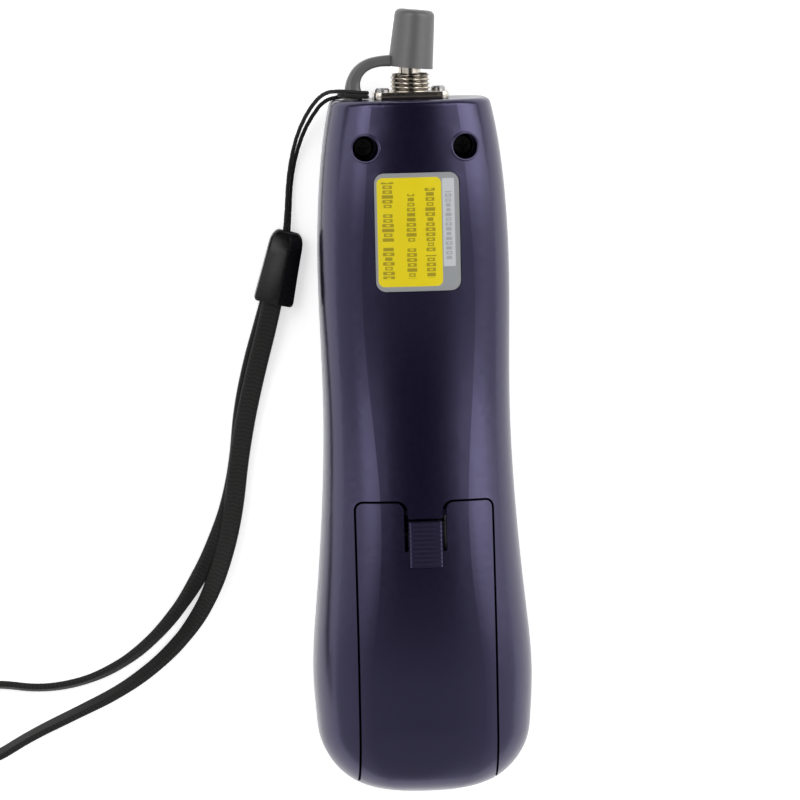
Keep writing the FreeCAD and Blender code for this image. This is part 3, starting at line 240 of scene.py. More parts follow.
class Graph:
    """A node tree, with short ways to add nodes to it."""

    def __init__(self, tree):
        self.tree = tree

    def node(self, kind, links=(), **settings):
        item = self.tree.nodes.new(kind)
        for name, value in settings.items():
            setattr(item, name, value)
        for socket, value in links:
            self.feed(item.inputs[socket], value)
        return item

    def feed(self, socket, value):
        if isinstance(value, bpy.types.NodeSocket):
            self.tree.links.new(value, socket)
        else:
            socket.default_value = value

    def math(self, operation, first, second=0.0):
        links = ((0, first), (1, second))
        return self.node("ShaderNodeMath", links, operation=operation).outputs[0]

    def spread(self, value, low, high, to_low=0.0, to_high=1.0, smooth=False):
        links = (("Value", value), ("From Min", low), ("From Max", high), ("To Min", to_low),
                 ("To Max", to_high))
        kind = "SMOOTHSTEP" if smooth else "LINEAR"
        item = self.node("ShaderNodeMapRange", links, interpolation_type=kind)
        return item.outputs["Result"]

    def product(self, *values):
        total = values[0]
        for value in values[1:]:
            total = self.math("MULTIPLY", total, value)
        return total

    def total(self, *values):
        result = values[0]
        for value in values[1:]:
            result = self.math("ADD", result, value)
        return result

    def seen_directly(self):
        """1 for camera, glossy and transmission rays, 0 for the rest."""
        path = self.node("ShaderNodeLightPath")
        either = self.math("MAXIMUM", path.outputs["Is Camera Ray"],
                           path.outputs["Is Glossy Ray"])
        return self.math("MAXIMUM", either, path.outputs["Is Transmission Ray"])


class Shader(Graph):
    """A principled material whose patterns follow the object's own coordinates."""

    def __init__(self, name, color, roughness, **settings):
        self.material = bpy.data.materials.new(name)
        self.material.use_nodes = True
        super().__init__(self.material.node_tree)
        self.surface = self.tree.nodes["Principled BSDF"]
        self.surface.inputs["Base Color"].default_value = (*color, 1.0)
        self.surface.inputs["Roughness"].default_value = roughness
        for socket, value in settings.items():
            self.surface.inputs[socket.replace("_", " ")].default_value = value
        self.place = self.node("ShaderNodeTexCoord").outputs["Object"]

    def noise(self, scale, detail=2.0, place=None):
        links = (("Vector", place or self.place), ("Scale", scale), ("Detail", detail))
        return self.node("ShaderNodeTexNoise", links).outputs["Fac"]

    def stretched(self, x, y, z):
        links = ((0, self.place), (1, (x, y, z)))
        return self.node("ShaderNodeVectorMath", links, operation="MULTIPLY").outputs[0]

    def axes(self):
        """The three coordinates in millimetres."""
        return self.node("ShaderNodeSeparateXYZ", ((0, self.stretched(1 / MM, 1 / MM, 1 / MM)),)
                         ).outputs

    def mix(self, share, first, second):
        """Colour between first and second; each is a socket or three numbers."""
        item = self.node("ShaderNodeMix", data_type="RGBA")
        for socket, value in (("Factor_Float", share), ("A_Color", first), ("B_Color", second)):
            target = next(entry for entry in item.inputs if entry.identifier == socket)
            if isinstance(value, (tuple, list)):
                value = (*value, 1.0)
            self.feed(target, value)
        return next(entry for entry in item.outputs if entry.identifier == "Result_Color")

    def color(self, value):
        self.feed(self.surface.inputs["Base Color"], value)

    def roughness(self, value):
        self.feed(self.surface.inputs["Roughness"], value)

    def bump(self, height, depth):
        """Relief of the given depth in millimetres, over any relief already there."""
        links = [("Height", height), ("Distance", depth * MM), ("Strength", 1.0)]
        under = self.surface.inputs["Normal"]
        if under.is_linked:
            links.append(("Normal", under.links[0].from_socket))
        item = self.node("ShaderNodeBump", links)
        self.tree.links.new(item.outputs["Normal"], under)
        return self


def srgb(red, green, blue):
    """Linear colour of three display values from 0 to 255."""
    def linear(value):
        value /= 255.0
        return value / 12.92 if value <= 0.04045 else ((value + 0.055) / 1.055) ** 2.4
    return linear(red), linear(green), linear(blue)


# ---------------------------------------------------------------- materials

def housing_paint(name="housing_paint", rough=0.21, gloss=1.0):
    shader = Shader(name, srgb(9, 6, 25), rough, Specular_IOR_Level=gloss,
                    Specular_Tint=(0.62, 0.57, 1.0, 1.0))
    shader.color(shader.mix(shader.noise(60.0, 3.0), srgb(8, 5, 24), srgb(11, 8, 27)))
    shader.roughness(shader.spread(shader.noise(900.0, 3.0), 0.3, 0.7, rough, rough + 0.03))
    return shader.bump(shader.noise(2600.0, 2.0), 0.0008).material


LABEL_LOW, LABEL_HIGH = box_mm("rating_label")
LABEL_MIDDLE = (LABEL_LOW + LABEL_HIGH) / 2
PANEL = (-7.95, 4.85, -10.8, 10.85, 1.2)         # left, right, low, high, corner radius
SERIAL = (5.05, 7.45, -6.95, 10.55, 0.15)
FOOT_BOX = (5.05, 7.45, -10.85, -7.15, 0.15)
# Rows of print that say nothing: middle, half height, stroke pitch, and each word's ends.
PRINT_ROWS = (
    (-5.87, 1.3, 0.95, ((-9.2, -2.9), (-1.8, 3.9), (4.9, 10.0))),
    (-1.26, 1.1, 1.0, ((-9.2, -3.2), (-2.1, 7.6))),
    (2.55, 1.1, 1.0, ((-9.2, -4.6), (-3.9, 8.7))),
)
SERIAL_ROW = (6.2, 0.8, 0.95, ((-5.6, 8.0),))


def field(shader, x, y, left, right, low, high, corner):
    """1 inside a rectangle with round corners, softened over 0.1 mm at its edge."""
    def beyond(value, start, end):
        middle, half = (start + end) / 2, (end - start) / 2 - corner
        off = shader.math("ABSOLUTE", shader.math("SUBTRACT", value, middle))
        return shader.math("MAXIMUM", shader.math("SUBTRACT", off, half), 0.0)
    far = shader.math("POWER", shader.total(
        shader.math("POWER", beyond(x, left, right), 2.0),
        shader.math("POWER", beyond(y, low, high), 2.0)), 0.5)
    return shader.spread(far, corner - 0.05, corner + 0.05, 1.0, 0.0)


def greeked(shader, x, y, row, half, pitch, words):
    """Blocks of uneven height that read as print from a step away and spell nothing."""
    cell = shader.math("DIVIDE", y, pitch)
    seed = shader.total(shader.math("FLOOR", cell), row * 7.3)
    chance = shader.node("ShaderNodeTexWhiteNoise", (("W", seed),), noise_dimensions="1D")
    height = shader.spread(chance.outputs["Value"], 0.0, 1.0, 0.6 * half, half)
    across = shader.math("ABSOLUTE", shader.math("SUBTRACT", x, row))
    along = shader.math("ABSOLUTE", shader.math("SUBTRACT", shader.math("FRACT", cell), 0.5))
    block = shader.product(
        shader.spread(shader.math("SUBTRACT", height, across), 0.0, 0.12),
        shader.spread(along, 0.3, 0.42, 1.0, 0.0))
    hollow = shader.product(
        shader.spread(across, 0.25 * half, 0.4 * half, 1.0, 0.0),
        shader.spread(along, 0.08, 0.2, 1.0, 0.0),
        shader.math("GREATER_THAN", shader.math("FRACT", shader.product(
            chance.outputs["Value"], 7.0)), 0.4))
    inside = shader.total(*(shader.product(
        shader.math("GREATER_THAN", y, low), shader.math("LESS_THAN", y, high))
        for low, high in words))
    return shader.product(shader.math("SUBTRACT", block, hollow), inside)


def label_film():
    shader = Shader("label_film", srgb(150, 151, 153), 0.32)
    across, along, _ = shader.axes()
    x = shader.math("SUBTRACT", across, LABEL_MIDDLE.x)
    y = shader.math("SUBTRACT", along, LABEL_MIDDLE.y)
    yellow = shader.mix(shader.noise(260.0, 3.0), srgb(213, 192, 6), srgb(219, 200, 16))
    paper = shader.mix(field(shader, x, y, *PANEL), srgb(140, 141, 143), yellow)
    paper = shader.mix(field(shader, x, y, *SERIAL), paper, srgb(184, 187, 189))
    paper = shader.mix(field(shader, x, y, *FOOT_BOX), paper, srgb(139, 142, 144))
    ink = shader.total(*(greeked(shader, x, y, *row) for row in PRINT_ROWS))
    paper = shader.mix(shader.product(ink, 0.72), paper, srgb(116, 102, 20))
    serial = greeked(shader, x, y, *SERIAL_ROW)
    shader.color(shader.mix(shader.product(serial, 0.55), paper, srgb(120, 124, 126)))
    shader.roughness(shader.spread(shader.noise(1500.0), 0.3, 0.7, 0.28, 0.38))
    return shader.bump(shader.noise(3000.0), 0.0015).material


def rubber(name, dark, light, rough=0.62, sheen=0.0, gloss=0.35):
    shader = Shader(name, dark, rough, Specular_IOR_Level=gloss, Sheen_Weight=sheen,
                    Sheen_Roughness=0.35)
    shader.color(shader.mix(shader.noise(700.0, 4.0), dark, light))
    shader.roughness(shader.spread(shader.noise(2500.0), 0.3, 0.7, rough - 0.05, rough + 0.07))
    return shader.bump(shader.noise(4200.0, 4.0), 0.008).material


def moulded(name, dark, light, rough=0.4, gloss=0.5):
    shader = Shader(name, dark, rough, Specular_IOR_Level=gloss)
    shader.color(shader.mix(shader.noise(400.0, 3.0), dark, light))
    shader.roughness(shader.spread(shader.noise(1800.0), 0.3, 0.7, rough - 0.05, rough + 0.06))
    return shader.bump(shader.noise(6000.0, 2.0), 0.004).material


def metal(name, dark, light, rough=0.3):
    shader = Shader(name, dark, rough, Metallic=1.0)
    grain = shader.noise(9000.0, 3.0)
    shader.color(shader.mix(grain, dark, light))
    shader.roughness(shader.spread(grain, 0.3, 0.7, rough - 0.06, rough + 0.08))
    return shader.bump(grain, 0.002).material


THREAD_RADIUS = 4.0
THREAD_START, THREAD_END = 1.6, 5.1  # from the housing's top wall
ROOT_SHADE_DEPTHS = (0.7, 0.45, 0.1)       # under the crest: where the painted shade in the roots ends, is full, fades out


def thread_metal(name, dark, light, rough):
    """Bright metal whose thread has painted shade in its roots, dark brown and dull there."""
    shader = Shader(name, dark, rough, Metallic=1.0)
    lines = shader.noise(1.0, 3.0, place=shader.stretched(5400.0, 9000.0, 5400.0))
    x, y, z = shader.axes()
    radius = shader.math("POWER", shader.total(
        shader.math("POWER", shader.math("ABSOLUTE", x), 2.0),
        shader.math("POWER", shader.math("ABSOLUTE", shader.math("SUBTRACT", z, SEAM_Z)),
                    2.0)), 0.5)
    lowest, full, faded = (THREAD_RADIUS - depth for depth in ROOT_SHADE_DEPTHS)
    # Painted shade: the thread's roots between its crests are painted dark brown by their radius.
    root = shader.product(shader.spread(radius, full, faded, 1.0, 0.0),
                          shader.math("GREATER_THAN", radius, lowest),
                          shader.math("GREATER_THAN", y, TOP_Y + THREAD_START))
    tone = shader.mix(lines, dark, light)
    shader.color(shader.mix(shader.product(root, 0.85), tone, srgb(52, 44, 36)))
    shader.roughness(shader.spread(lines, 0.3, 0.7, rough - 0.05, rough + 0.07))
    return shader.bump(lines, 0.0012).material


WEFT_PITCH = 0.42
WARP_PITCH = 1.0
WARP_SLOPE = 0.35


def woven(name, dark, light):
    """Yarn whose threads slope one way and the other over the strap's width, each painted lighter in its middle and
    darker at its edges as painted shade of the weave.
    """
    shader = Shader(name, dark, 0.7, Specular_IOR_Level=0.3, Sheen_Weight=0.15,
                    Sheen_Roughness=0.4)
    weave = shader.node("ShaderNodeUVMap", uv_map="weave").outputs["UV"]
    across, along, _ = shader.node("ShaderNodeSeparateXYZ", ((0, weave),)).outputs
    slope = shader.product(shader.math("PINGPONG", across, WARP_PITCH), WARP_SLOPE)
    thread = shader.math("FRACT", shader.math("DIVIDE", shader.total(along, slope),
                                              2 * WEFT_PITCH))
    # Painted shade of the weave: each thread is painted lighter in its middle and darker at its edges.
    thread_painted_shade = shader.math("PINGPONG", shader.product(thread, 2.0), 1.0)
    fuzz = shader.product(shader.noise(2600.0, 4.0), 0.5)
    share = shader.total(shader.product(thread_painted_shade, 0.75), fuzz)
    shader.color(shader.mix(share, dark, light))
    return shader.bump(shader.noise(9000.0, 3.0), 0.02).material


def yarn(name, dark, light):
    shader = Shader(name, dark, 0.75, Specular_IOR_Level=0.3, Sheen_Weight=0.25,
                    Sheen_Roughness=0.4)
    shader.color(shader.mix(shader.noise(3500.0, 4.0), dark, light))
    return shader.bump(shader.noise(9000.0, 3.0), 0.02).material


def clear(name, tint, rough):
    shader = Shader(name, tint, rough, Transmission_Weight=1.0, IOR=1.49)
    return shader.bump(shader.noise(300.0), 0.002).material


def build_materials():
    steel = srgb(150, 150, 152), srgb(176, 175, 173)
    keys = rubber("key_silicone", srgb(112, 114, 120), srgb(122, 124, 131), 0.55)
    black = moulded("inner_black", srgb(24, 24, 26), srgb(31, 31, 33))
    paint = housing_paint()
    return {
        "front_shell": paint, "rear_shell": paint, "battery_door": paint,
        "latch_ridges": housing_paint("worn_paint", 0.3, 0.75),
        "rating_label": label_film(),
        # Painted shade: the case screws' steel is painted near black for the shade of the wells they sit in; the bay
        # screws share it.
        "case_screws": metal("steel_with_painted_shade", srgb(40, 39, 38), srgb(56, 55, 54), 0.4),
        "board_screws": metal("inner_steel", *steel),
        "port_screws": metal("port_screw_steel", *steel, 0.25),
        "right_cell": metal("cell_wrap_right", srgb(165, 166, 170), srgb(180, 181, 184), 0.3),
        "bridge_contact": metal("contact_nickel", srgb(180, 178, 170), srgb(196, 194, 187)),
        "circuit_board": moulded("solder_mask", srgb(14, 80, 40), srgb(20, 96, 50), 0.3),
        "main_chip": moulded("chip_black", srgb(30, 30, 32), srgb(38, 38, 40), 0.5),
        "shield_can": metal("tinned_sheet", srgb(186, 187, 188), srgb(200, 201, 202), 0.3),
        "display_window": clear("window_clear", (0.9, 0.93, 0.92), 0.03),
        "lcd_panel": moulded("lcd_glass", srgb(150, 160, 140), srgb(158, 168, 148), 0.12),
        "lcd_holder": black, "key_switches": black,
        "zebra_strips": rubber("zebra_rubber", srgb(90, 90, 96), srgb(110, 110, 116)),
        "backlight": moulded("diffuser_white", srgb(224, 224, 220), srgb(232, 232, 229)),
        "power_key": keys,
        "fc_receptacle": thread_metal("port_nickel", srgb(196, 188, 176), srgb(212, 205, 194),
                                      0.16),
        "ferrule_sleeve": moulded("zirconia", srgb(236, 235, 230), srgb(242, 241, 238), 0.2),
        "detector_holder": metal("holder_aluminium", srgb(190, 191, 193), srgb(205, 206, 208)),
        "photodiode": metal("gold_can", srgb(212, 172, 96), srgb(224, 186, 112), 0.2),
        "dust_cap": rubber("cap_rubber", srgb(74, 74, 75), srgb(82, 82, 83), 0.42, 0.4, 0.8),
        "lanyard_cord": yarn("cord_yarn", srgb(10, 10, 10), srgb(34, 33, 32)),
        "wrist_webbing": woven("webbing_yarn", srgb(3, 3, 3), srgb(30, 29, 28)),
        "strap_clasp": moulded("clasp_plastic", srgb(18, 17, 18), srgb(22, 21, 22), 0.24, 0.22),
    }


SAME_FINISH = {
    "bay_screws": "case_screws", "left_cell": "right_cell", "amplifier_chip": "main_chip",
    "end_contacts": "bridge_contact", "contact_springs": "bridge_contact",
    "cap_tether": "dust_cap", "light_key": "power_key", "wavelength_key": "power_key",
    "unit_key": "power_key", "reference_key": "power_key", "store_key": "power_key",
}

MATERIALS = build_materials()
for follower, leader in SAME_FINISH.items():
    MATERIALS[follower] = MATERIALS[leader]
for node_name, node in NODES.items():
    for entry in node.material_slots:
        entry.material = MATERIALS[node_name]


# ---------------------------------------------------------------- making pieces

def new_piece(name, verts, faces, node_name, body="root", own_slot=None, stands_in=True,
              finish=None):
    """A smooth mesh piece that takes a CAD node's place, if it stands in, and its finish."""
    mesh = bpy.data.meshes.new(name)
    mesh.from_pydata(verts, [], faces)
    mesh.validate()
    work = bmesh.new()
    work.from_mesh(mesh)
    bmesh.ops.recalc_face_normals(work, faces=work.faces)
    work.to_mesh(mesh)
    work.free()
    mesh.shade_smooth()
    mesh.materials.append(MATERIALS[finish or node_name])
    piece = bpy.data.objects.new(name, mesh)
    bpy.context.scene.collection.objects.link(piece)
    if body:
        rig.ride(piece, body)
    if stands_in:
        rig.replaces(piece, node_name)
    if own_slot:
        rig.slot(piece, own_slot)
    return piece


def ring_faces(rings, sides, joined=False):
    """Faces of a tube whose vertices come in rings: capped, or joined end to end."""
    faces = []
    for ring in range(rings if joined else rings - 1):
        start, following = ring * sides, (ring + 1) % rings * sides
        for side in range(sides):
            after = (side + 1) % sides
            faces.append((start + side, start + after, following + after, following + side))
    if not joined:
        faces.append(tuple(reversed(range(sides))))
        last = (rings - 1) * sides
        faces.append(tuple(range(last, last + sides)))
    return faces


ROUTE_RESOLUTION = 24


def curve_points(route, step):
    """Evenly spaced points, with each one's place in the route, along its smooth line."""
    data = bpy.data.curves.new("route", "CURVE")
    data.dimensions = "3D"
    data.resolution_u = ROUTE_RESOLUTION
    spline = data.splines.new("NURBS")
    spline.points.add(len(route) - 1)
    for target, spot in zip(spline.points, route):
        target.co = (*(item * MM for item in spot[:3]), 1.0)
    spline.order_u = 3
    spline.use_endpoint_u = True
    holder = bpy.data.objects.new("route", data)
    bpy.context.scene.collection.objects.link(holder)
    bpy.context.view_layer.update()
    mesh = bpy.data.meshes.new_from_object(holder)
    line = [vertex.co.copy() for vertex in mesh.vertices]
    bpy.data.objects.remove(holder)
    bpy.data.meshes.remove(mesh)
    spans = [(b - a).length for a, b in zip(line, line[1:])]
    total = sum(spans)
    count = max(2, round(total / (step * MM)))
    points, shares = [], []
    index, passed = 0, 0.0
    for number in range(count + 1):
        goal = total * number / count
        while index < len(spans) - 1 and passed + spans[index] < goal:
            passed += spans[index]
            index += 1
        part = min(1.0, (goal - passed) / spans[index]) if spans[index] else 0.0
        points.append(line[index].lerp(line[index + 1], part))
        shares.append((index + part) / len(spans) * (len(route) - 1))
    return points, shares, total


def headings(points):
    """The direction of the line at each of its points."""
    count = len(points)
    return [(points[min(i + 1, count - 1)] - points[max(i - 1, 0)]).normalized()
            for i in range(count)]


# ---------------------------------------------------------------- lanyard cord

CORD_ROUTE = (
    (-25.4, 41.3, 2.5), (-24.75, 46.6, 2.2), (-24.3, 53.0, 1.7), (-23.4, 58.4, 1.9),
    (-22.0, 63.4, 3.3), (-19.8, 68.0, 6.2), (-17.2, 71.1, 9.3), (-14.2, 71.5, 13.25),
    (-8.6, 70.9, 13.25), (-8.6, 70.8, 7.75), (-14.2, 70.7, 7.75), (-14.2, 70.5, 13.25),
    (-8.6, 70.1, 13.25), (-8.6, 70.0, 7.75), (-14.0, 70.2, 7.6), (-17.1, 69.3, 6.4),
    (-19.2, 66.4, 4.6), (-21.0, 63.0, 2.6), (-22.6, 58.2, 1.1), (-23.7, 52.6, 0.85),
    (-24.1, 46.4, 1.5), (-24.6, 41.1, 2.5))
CORD_STEP = 0.12
CORD_DIAMETER = 0.8
CORD_EXIT = 7                      # the first point of the line that is out of the clasp
BRAID_STRANDS = 5
BRAID_PITCH = 2.6                  # length in which a strand goes once round
BRAID_RELIEF = 0.12                # share of the radius
BRAID_MEAN = 0.6                   # the strands' mean height, which keeps the diameter
CORD_SIDES = 20


def build_cord():
    """The plaited cord, whose strands turn round it both ways."""
    points, _, total = curve_points(CORD_ROUTE, CORD_STEP)
    radius = CORD_DIAMETER / 2 * MM
    side = headings(points)[0].orthogonal().normalized()
    verts = []
    step = total / (len(points) - 1)
    for index, (point, heading) in enumerate(zip(points, headings(points))):
        side = (side - heading * side.dot(heading)).normalized()
        other = heading.cross(side)
        twist = index * step / (BRAID_PITCH * MM) * math.tau
        for number in range(CORD_SIDES):
            angle = math.tau * number / CORD_SIDES
            right = math.cos(BRAID_STRANDS * angle + twist)
            left = math.cos(BRAID_STRANDS * angle - twist)
            swell = 1.0 + BRAID_RELIEF * (max(right, left) - BRAID_MEAN)
            reach = radius * swell
            verts.append(point + side * (reach * math.cos(angle))
                         + other * (reach * math.sin(angle)))
    piece = new_piece("braided_cord", verts, ring_faces(len(points), CORD_SIDES),
                      "lanyard_cord", own_slot="cord")
    return piece, points, total


# ---------------------------------------------------------------- wrist webbing

# Each point has the strap's roll about its own line in degrees: 0 lies flat, 90 is on edge.
WEBBING_ROUTE = (
    (-27.4, 33.0, 1.9, 0), (-29.5, 25.8, 1.4, 0), (-32.4, 16.3, 0.8, 0),
    (-34.5, 6.7, 0.75, 0), (-35.4, -2.8, 0.75, 4), (-37.6, -12.4, 1.1, 16),
    (-41.8, -21.9, 1.8, 36), (-47.3, -31.0, 2.1, 52), (-53.2, -37.8, 2.2, 60),
    (-59.6, -42.8, 2.2, 66), (-67.4, -46.3, 2.2, 72), (-76.4, -47.6, 2.2, 75),
    (-85.0, -46.2, 2.2, 75), (-93.6, -46.4, 2.2, 75), (-99.0, -53.4, 2.2, 75),
    (-95.6, -61.4, 2.2, 75), (-87.4, -62.0, 2.2, 75), (-79.0, -57.0, 2.2, 75),
    (-70.0, -52.9, 2.2, 72), (-60.6, -48.6, 2.2, 68), (-53.0, -43.4, 2.2, 62),
    (-46.9, -37.4, 2.2, 56), (-42.3, -30.4, 2.3, 42), (-39.0, -21.6, 2.3, 22),
    (-36.8, -12.3, 2.2, 8), (-35.6, -2.7, 2.1, 0), (-33.8, 6.8, 2.1, 0),
    (-31.4, 16.4, 2.15, 0), (-28.9, 25.4, 2.6, 0), (-27.2, 33.0, 3.2, 0))
WEBBING_STEP = 0.18
WEBBING_WIDTH = 4.0
WEBBING_THICK = 1.15
WEAVE_RELIEF = 0.1
EDGE_SCALLOP = 0.1
ACROSS = 20                        # steps over the strap's width


def ribbon_section(steps, half, thick):
    """Points round a flat section with full edges: (across, up, share of the flat face)."""
    spots = []
    for face in (1, -1):
        for number in range(steps + 1):
            share = 2 * number / steps - 1
            across = half * share * face
            edge = min(1.0, (half - abs(across)) / (thick / 2))
            up = thick / 2 * math.sqrt(max(0.0, 1 - (1 - edge) ** 2)) * face
            spots.append((across, up, edge))
    return spots[:steps] + spots[steps + 1:-1]


def build_webbing():
    """The flat strap, with the weave's relief and a place in the weave for each corner."""
    points, shares, total = curve_points(WEBBING_ROUTE, WEBBING_STEP)
    rolls = [item[3] for item in WEBBING_ROUTE]
    section = ribbon_section(ACROSS, WEBBING_WIDTH / 2, WEBBING_THICK)
    step = total / (len(points) - 1) / MM
    verts = []
    for index, (point, heading) in enumerate(zip(points, headings(points))):
        low = min(int(shares[index]), len(rolls) - 2)
        part = shares[index] - low
        part = part * part * (3 - 2 * part)
        roll = math.radians(rolls[low] * (1 - part) + rolls[low + 1] * part)
        flat = heading.cross(Vector((0, 0, 1))).normalized()
        rise = flat.cross(heading)
        side = flat * math.cos(roll) + rise * math.sin(roll)
        over = side.cross(heading)
        along = index * step
        weft = math.pi * along / WEFT_PITCH
        for across, up, edge in section:
            warp = math.tau * across / WARP_PITCH
            relief = WEAVE_RELIEF * math.cos(weft) * math.cos(warp) * edge
            scallop = 1 + EDGE_SCALLOP / (WEBBING_WIDTH / 2) * math.cos(2 * weft) * (1 - edge)
            height = up + math.copysign(relief, up) if edge > 0 else 0.0
            verts.append(point + side * (across * scallop * MM) + over * (height * MM))
    piece = new_piece("woven_webbing", verts, ring_faces(len(points), len(section)),
                      "wrist_webbing", own_slot="webbing")
    layer = piece.data.uv_layers.new(name="weave")
    for loop, spot in zip(piece.data.loops, layer.data):
        ring, number = divmod(loop.vertex_index, len(section))
        spot.uv = (section[number][0] + WEBBING_WIDTH / 2, ring * step)
    return piece, points, total


# ---------------------------------------------------------------- clasp

CLASP_TOP = (-24.4, 43.2)
CLASP_TURN = math.radians(-13.6)
# Down from the top: distance, half width, height of the sides, height of the ridge.
CLASP_STATIONS = (
    (0.0, 2.0, 2.2, 2.7), (0.35, 2.5, 2.6, 3.3), (1.0, 2.95, 2.85, 3.85),
    (1.9, 3.25, 3.0, 4.2), (3.3, 3.4, 3.1, 4.7), (4.0, 3.42, 3.1, 4.95),
    (5.0, 3.46, 3.1, 5.0), (8.0, 3.6, 3.1, 5.0),
    (13.9, 3.95, 3.1, 5.0), (14.5, 3.88, 3.0, 4.9), (14.9, 3.55, 2.9, 4.75))
RIDGE_X = 0.75                     # the ridge runs a little to the right of the middle
MOUTH = (2.45, 0.6, 4.0)           # half width, low and high edge of the webbing's mouth
EYE = (0.95, 1.0, 3.0)             # the same for the cord's eye
HOLLOW_DEPTH = 3.4


def clasp_ring(along, half, side, ridge):
    """One section of the clasp: flat below, two facets that meet in a ridge above."""
    foot = 0.35
    shoulder = half - 0.45
    rise = side + 0.45
    return [(x, along, z) for x, z in (
        (-half + foot, 0.05), (half - foot, 0.05), (half, foot), (half, side),
        (shoulder, rise), (RIDGE_X, ridge), (RIDGE_X - 0.5, ridge), (-shoulder, rise),
        (-half, side), (-half, foot))]


def hollow_ring(along, half, low, high):
    """A rounded opening with as many corners as the clasp's section."""
    cut = 0.3 * half
    middle = (low + high) / 2
    return [(x, along, z) for x, z in (
        (-half + cut, low), (half - cut, low), (half, low + 0.2), (half, middle),
        (half - cut, high), (RIDGE_X * half / 3, high), (-RIDGE_X * half / 3, high),
        (-half + cut, high), (-half, middle), (-half, low + 0.2))]


def build_clasp():
    """The clasp's faceted block, hollow where the cord and the strap enter it."""
    length = CLASP_STATIONS[-1][0]
    rings = [hollow_ring(HOLLOW_DEPTH, *EYE), hollow_ring(0.0, *EYE)]
    rings += [clasp_ring(*station) for station in CLASP_STATIONS]
    rings += [hollow_ring(length - 0.1, *MOUTH), hollow_ring(length - HOLLOW_DEPTH, *MOUTH)]
    cos, sin = math.cos(CLASP_TURN), math.sin(CLASP_TURN)
    verts = []
    for ring in rings:
        for x, along, z in ring:
            verts.append(mm(CLASP_TOP[0] + x * cos + along * sin,
                            CLASP_TOP[1] + x * sin - along * cos, z))
    piece = new_piece("moulded_clasp", verts, ring_faces(len(rings), len(rings[0])),
                      "strap_clasp", own_slot="clasp")
    soften(piece, 0.22)
    return piece


def soften(piece, width, angle=24.0, segments=3):
    """Rounds the edges of a low mesh and keeps its flats flat."""
    bevel = piece.modifiers.new("edges", "BEVEL")
    bevel.width = width * MM
    bevel.segments = segments
    bevel.limit_method = "ANGLE"
    bevel.angle_limit = math.radians(angle)
    bevel.harden_normals = True
    piece.data.shade_smooth()


# ---------------------------------------------------------------- fibre port

SPIGOT_LENGTH = 9.0                # the part inside the housing
# Round the axis: distance from the housing's top wall and radius, outside then inside.
BARREL = (
    (-SPIGOT_LENGTH, 0.9), (-SPIGOT_LENGTH, 2.3), (-6.0, 2.3), (-6.0, 3.5), (0.0, 3.5),
    (0.0, THREAD_RADIUS), (THREAD_START, THREAD_RADIUS))
THREAD_PITCH = 0.85
THREAD_DEPTH = 0.42
THREAD_STEPS = 12                  # rings to one pitch
BARREL_END = (
    (5.1, 3.55), (5.0, 3.25), (4.6, 3.1), (2.5, 3.1), (2.5, 2.2), (9.3, 2.2), (9.6, 2.0),
    (9.6, 1.72), (9.4, 1.6), (-2.7, 1.6), (-2.7, 0.9))
BARREL_SIDES = 120
FLANGE_WIDTH, FLANGE_HEIGHT, FLANGE_THICK, FLANGE_CORNER = 14.9, 9.5, 1.5, 1.5
FLANGE_SCREWS = ((-5.8, 2.8), (5.8, -2.8))
FLANGE_SCREW_HOLE = 0.85


def thread_radius(along, share):
    """Radius on the thread's flank at a distance and a share of a turn."""
    phase = (along / THREAD_PITCH - share) % 1.0
    flank = min(1.0, max(0.0, abs(2 * phase - 1) * 1.5 - 0.22))
    fade = min(1.0, max(0.0, (THREAD_END - along) / 0.35))
    return THREAD_RADIUS - THREAD_DEPTH * flank - 0.3 * (1 - fade)


def round_loop(count, x, z, radius):
    return [(x + radius * math.cos(math.tau * i / count), z + radius * math.sin(
        math.tau * i / count)) for i in range(count)]


def plate_loop(width, height, corner):
    points = []
    for turn, (sign_x, sign_z) in enumerate(((1, 1), (-1, 1), (-1, -1), (1, -1))):
        for step in range(7):
            angle = math.pi / 2 * (turn + step / 6)
            points.append((sign_x * (width / 2 - corner) + corner * math.cos(angle),
                           sign_z * (height / 2 - corner) + corner * math.sin(angle)))
    return points


def flat_plate(loops, thick, edge):
    """Vertices and faces of a plate with holes: outlines in its plane, edges rounded."""
    data = bpy.data.curves.new("plate", "CURVE")
    data.dimensions = "2D"
    data.fill_mode = "BOTH"
    data.extrude = (thick / 2 - edge) * MM
    data.bevel_depth = edge * MM
    data.bevel_resolution = 2
    data.offset = -edge * MM
    for loop in loops:
        spline = data.splines.new("POLY")
        spline.points.add(len(loop) - 1)
        for target, (across, up) in zip(spline.points, loop):
            target.co = (across * MM, up * MM, 0.0, 1.0)
        spline.use_cyclic_u = True
    holder = bpy.data.objects.new("plate", data)
    bpy.context.scene.collection.objects.link(holder)
    bpy.context.view_layer.update()
    mesh = bpy.data.meshes.new_from_object(holder)
    verts = [vertex.co.copy() for vertex in mesh.vertices]
    faces = [tuple(face.vertices) for face in mesh.polygons]
    bpy.data.objects.remove(holder)
    bpy.data.meshes.remove(mesh)
    return verts, faces


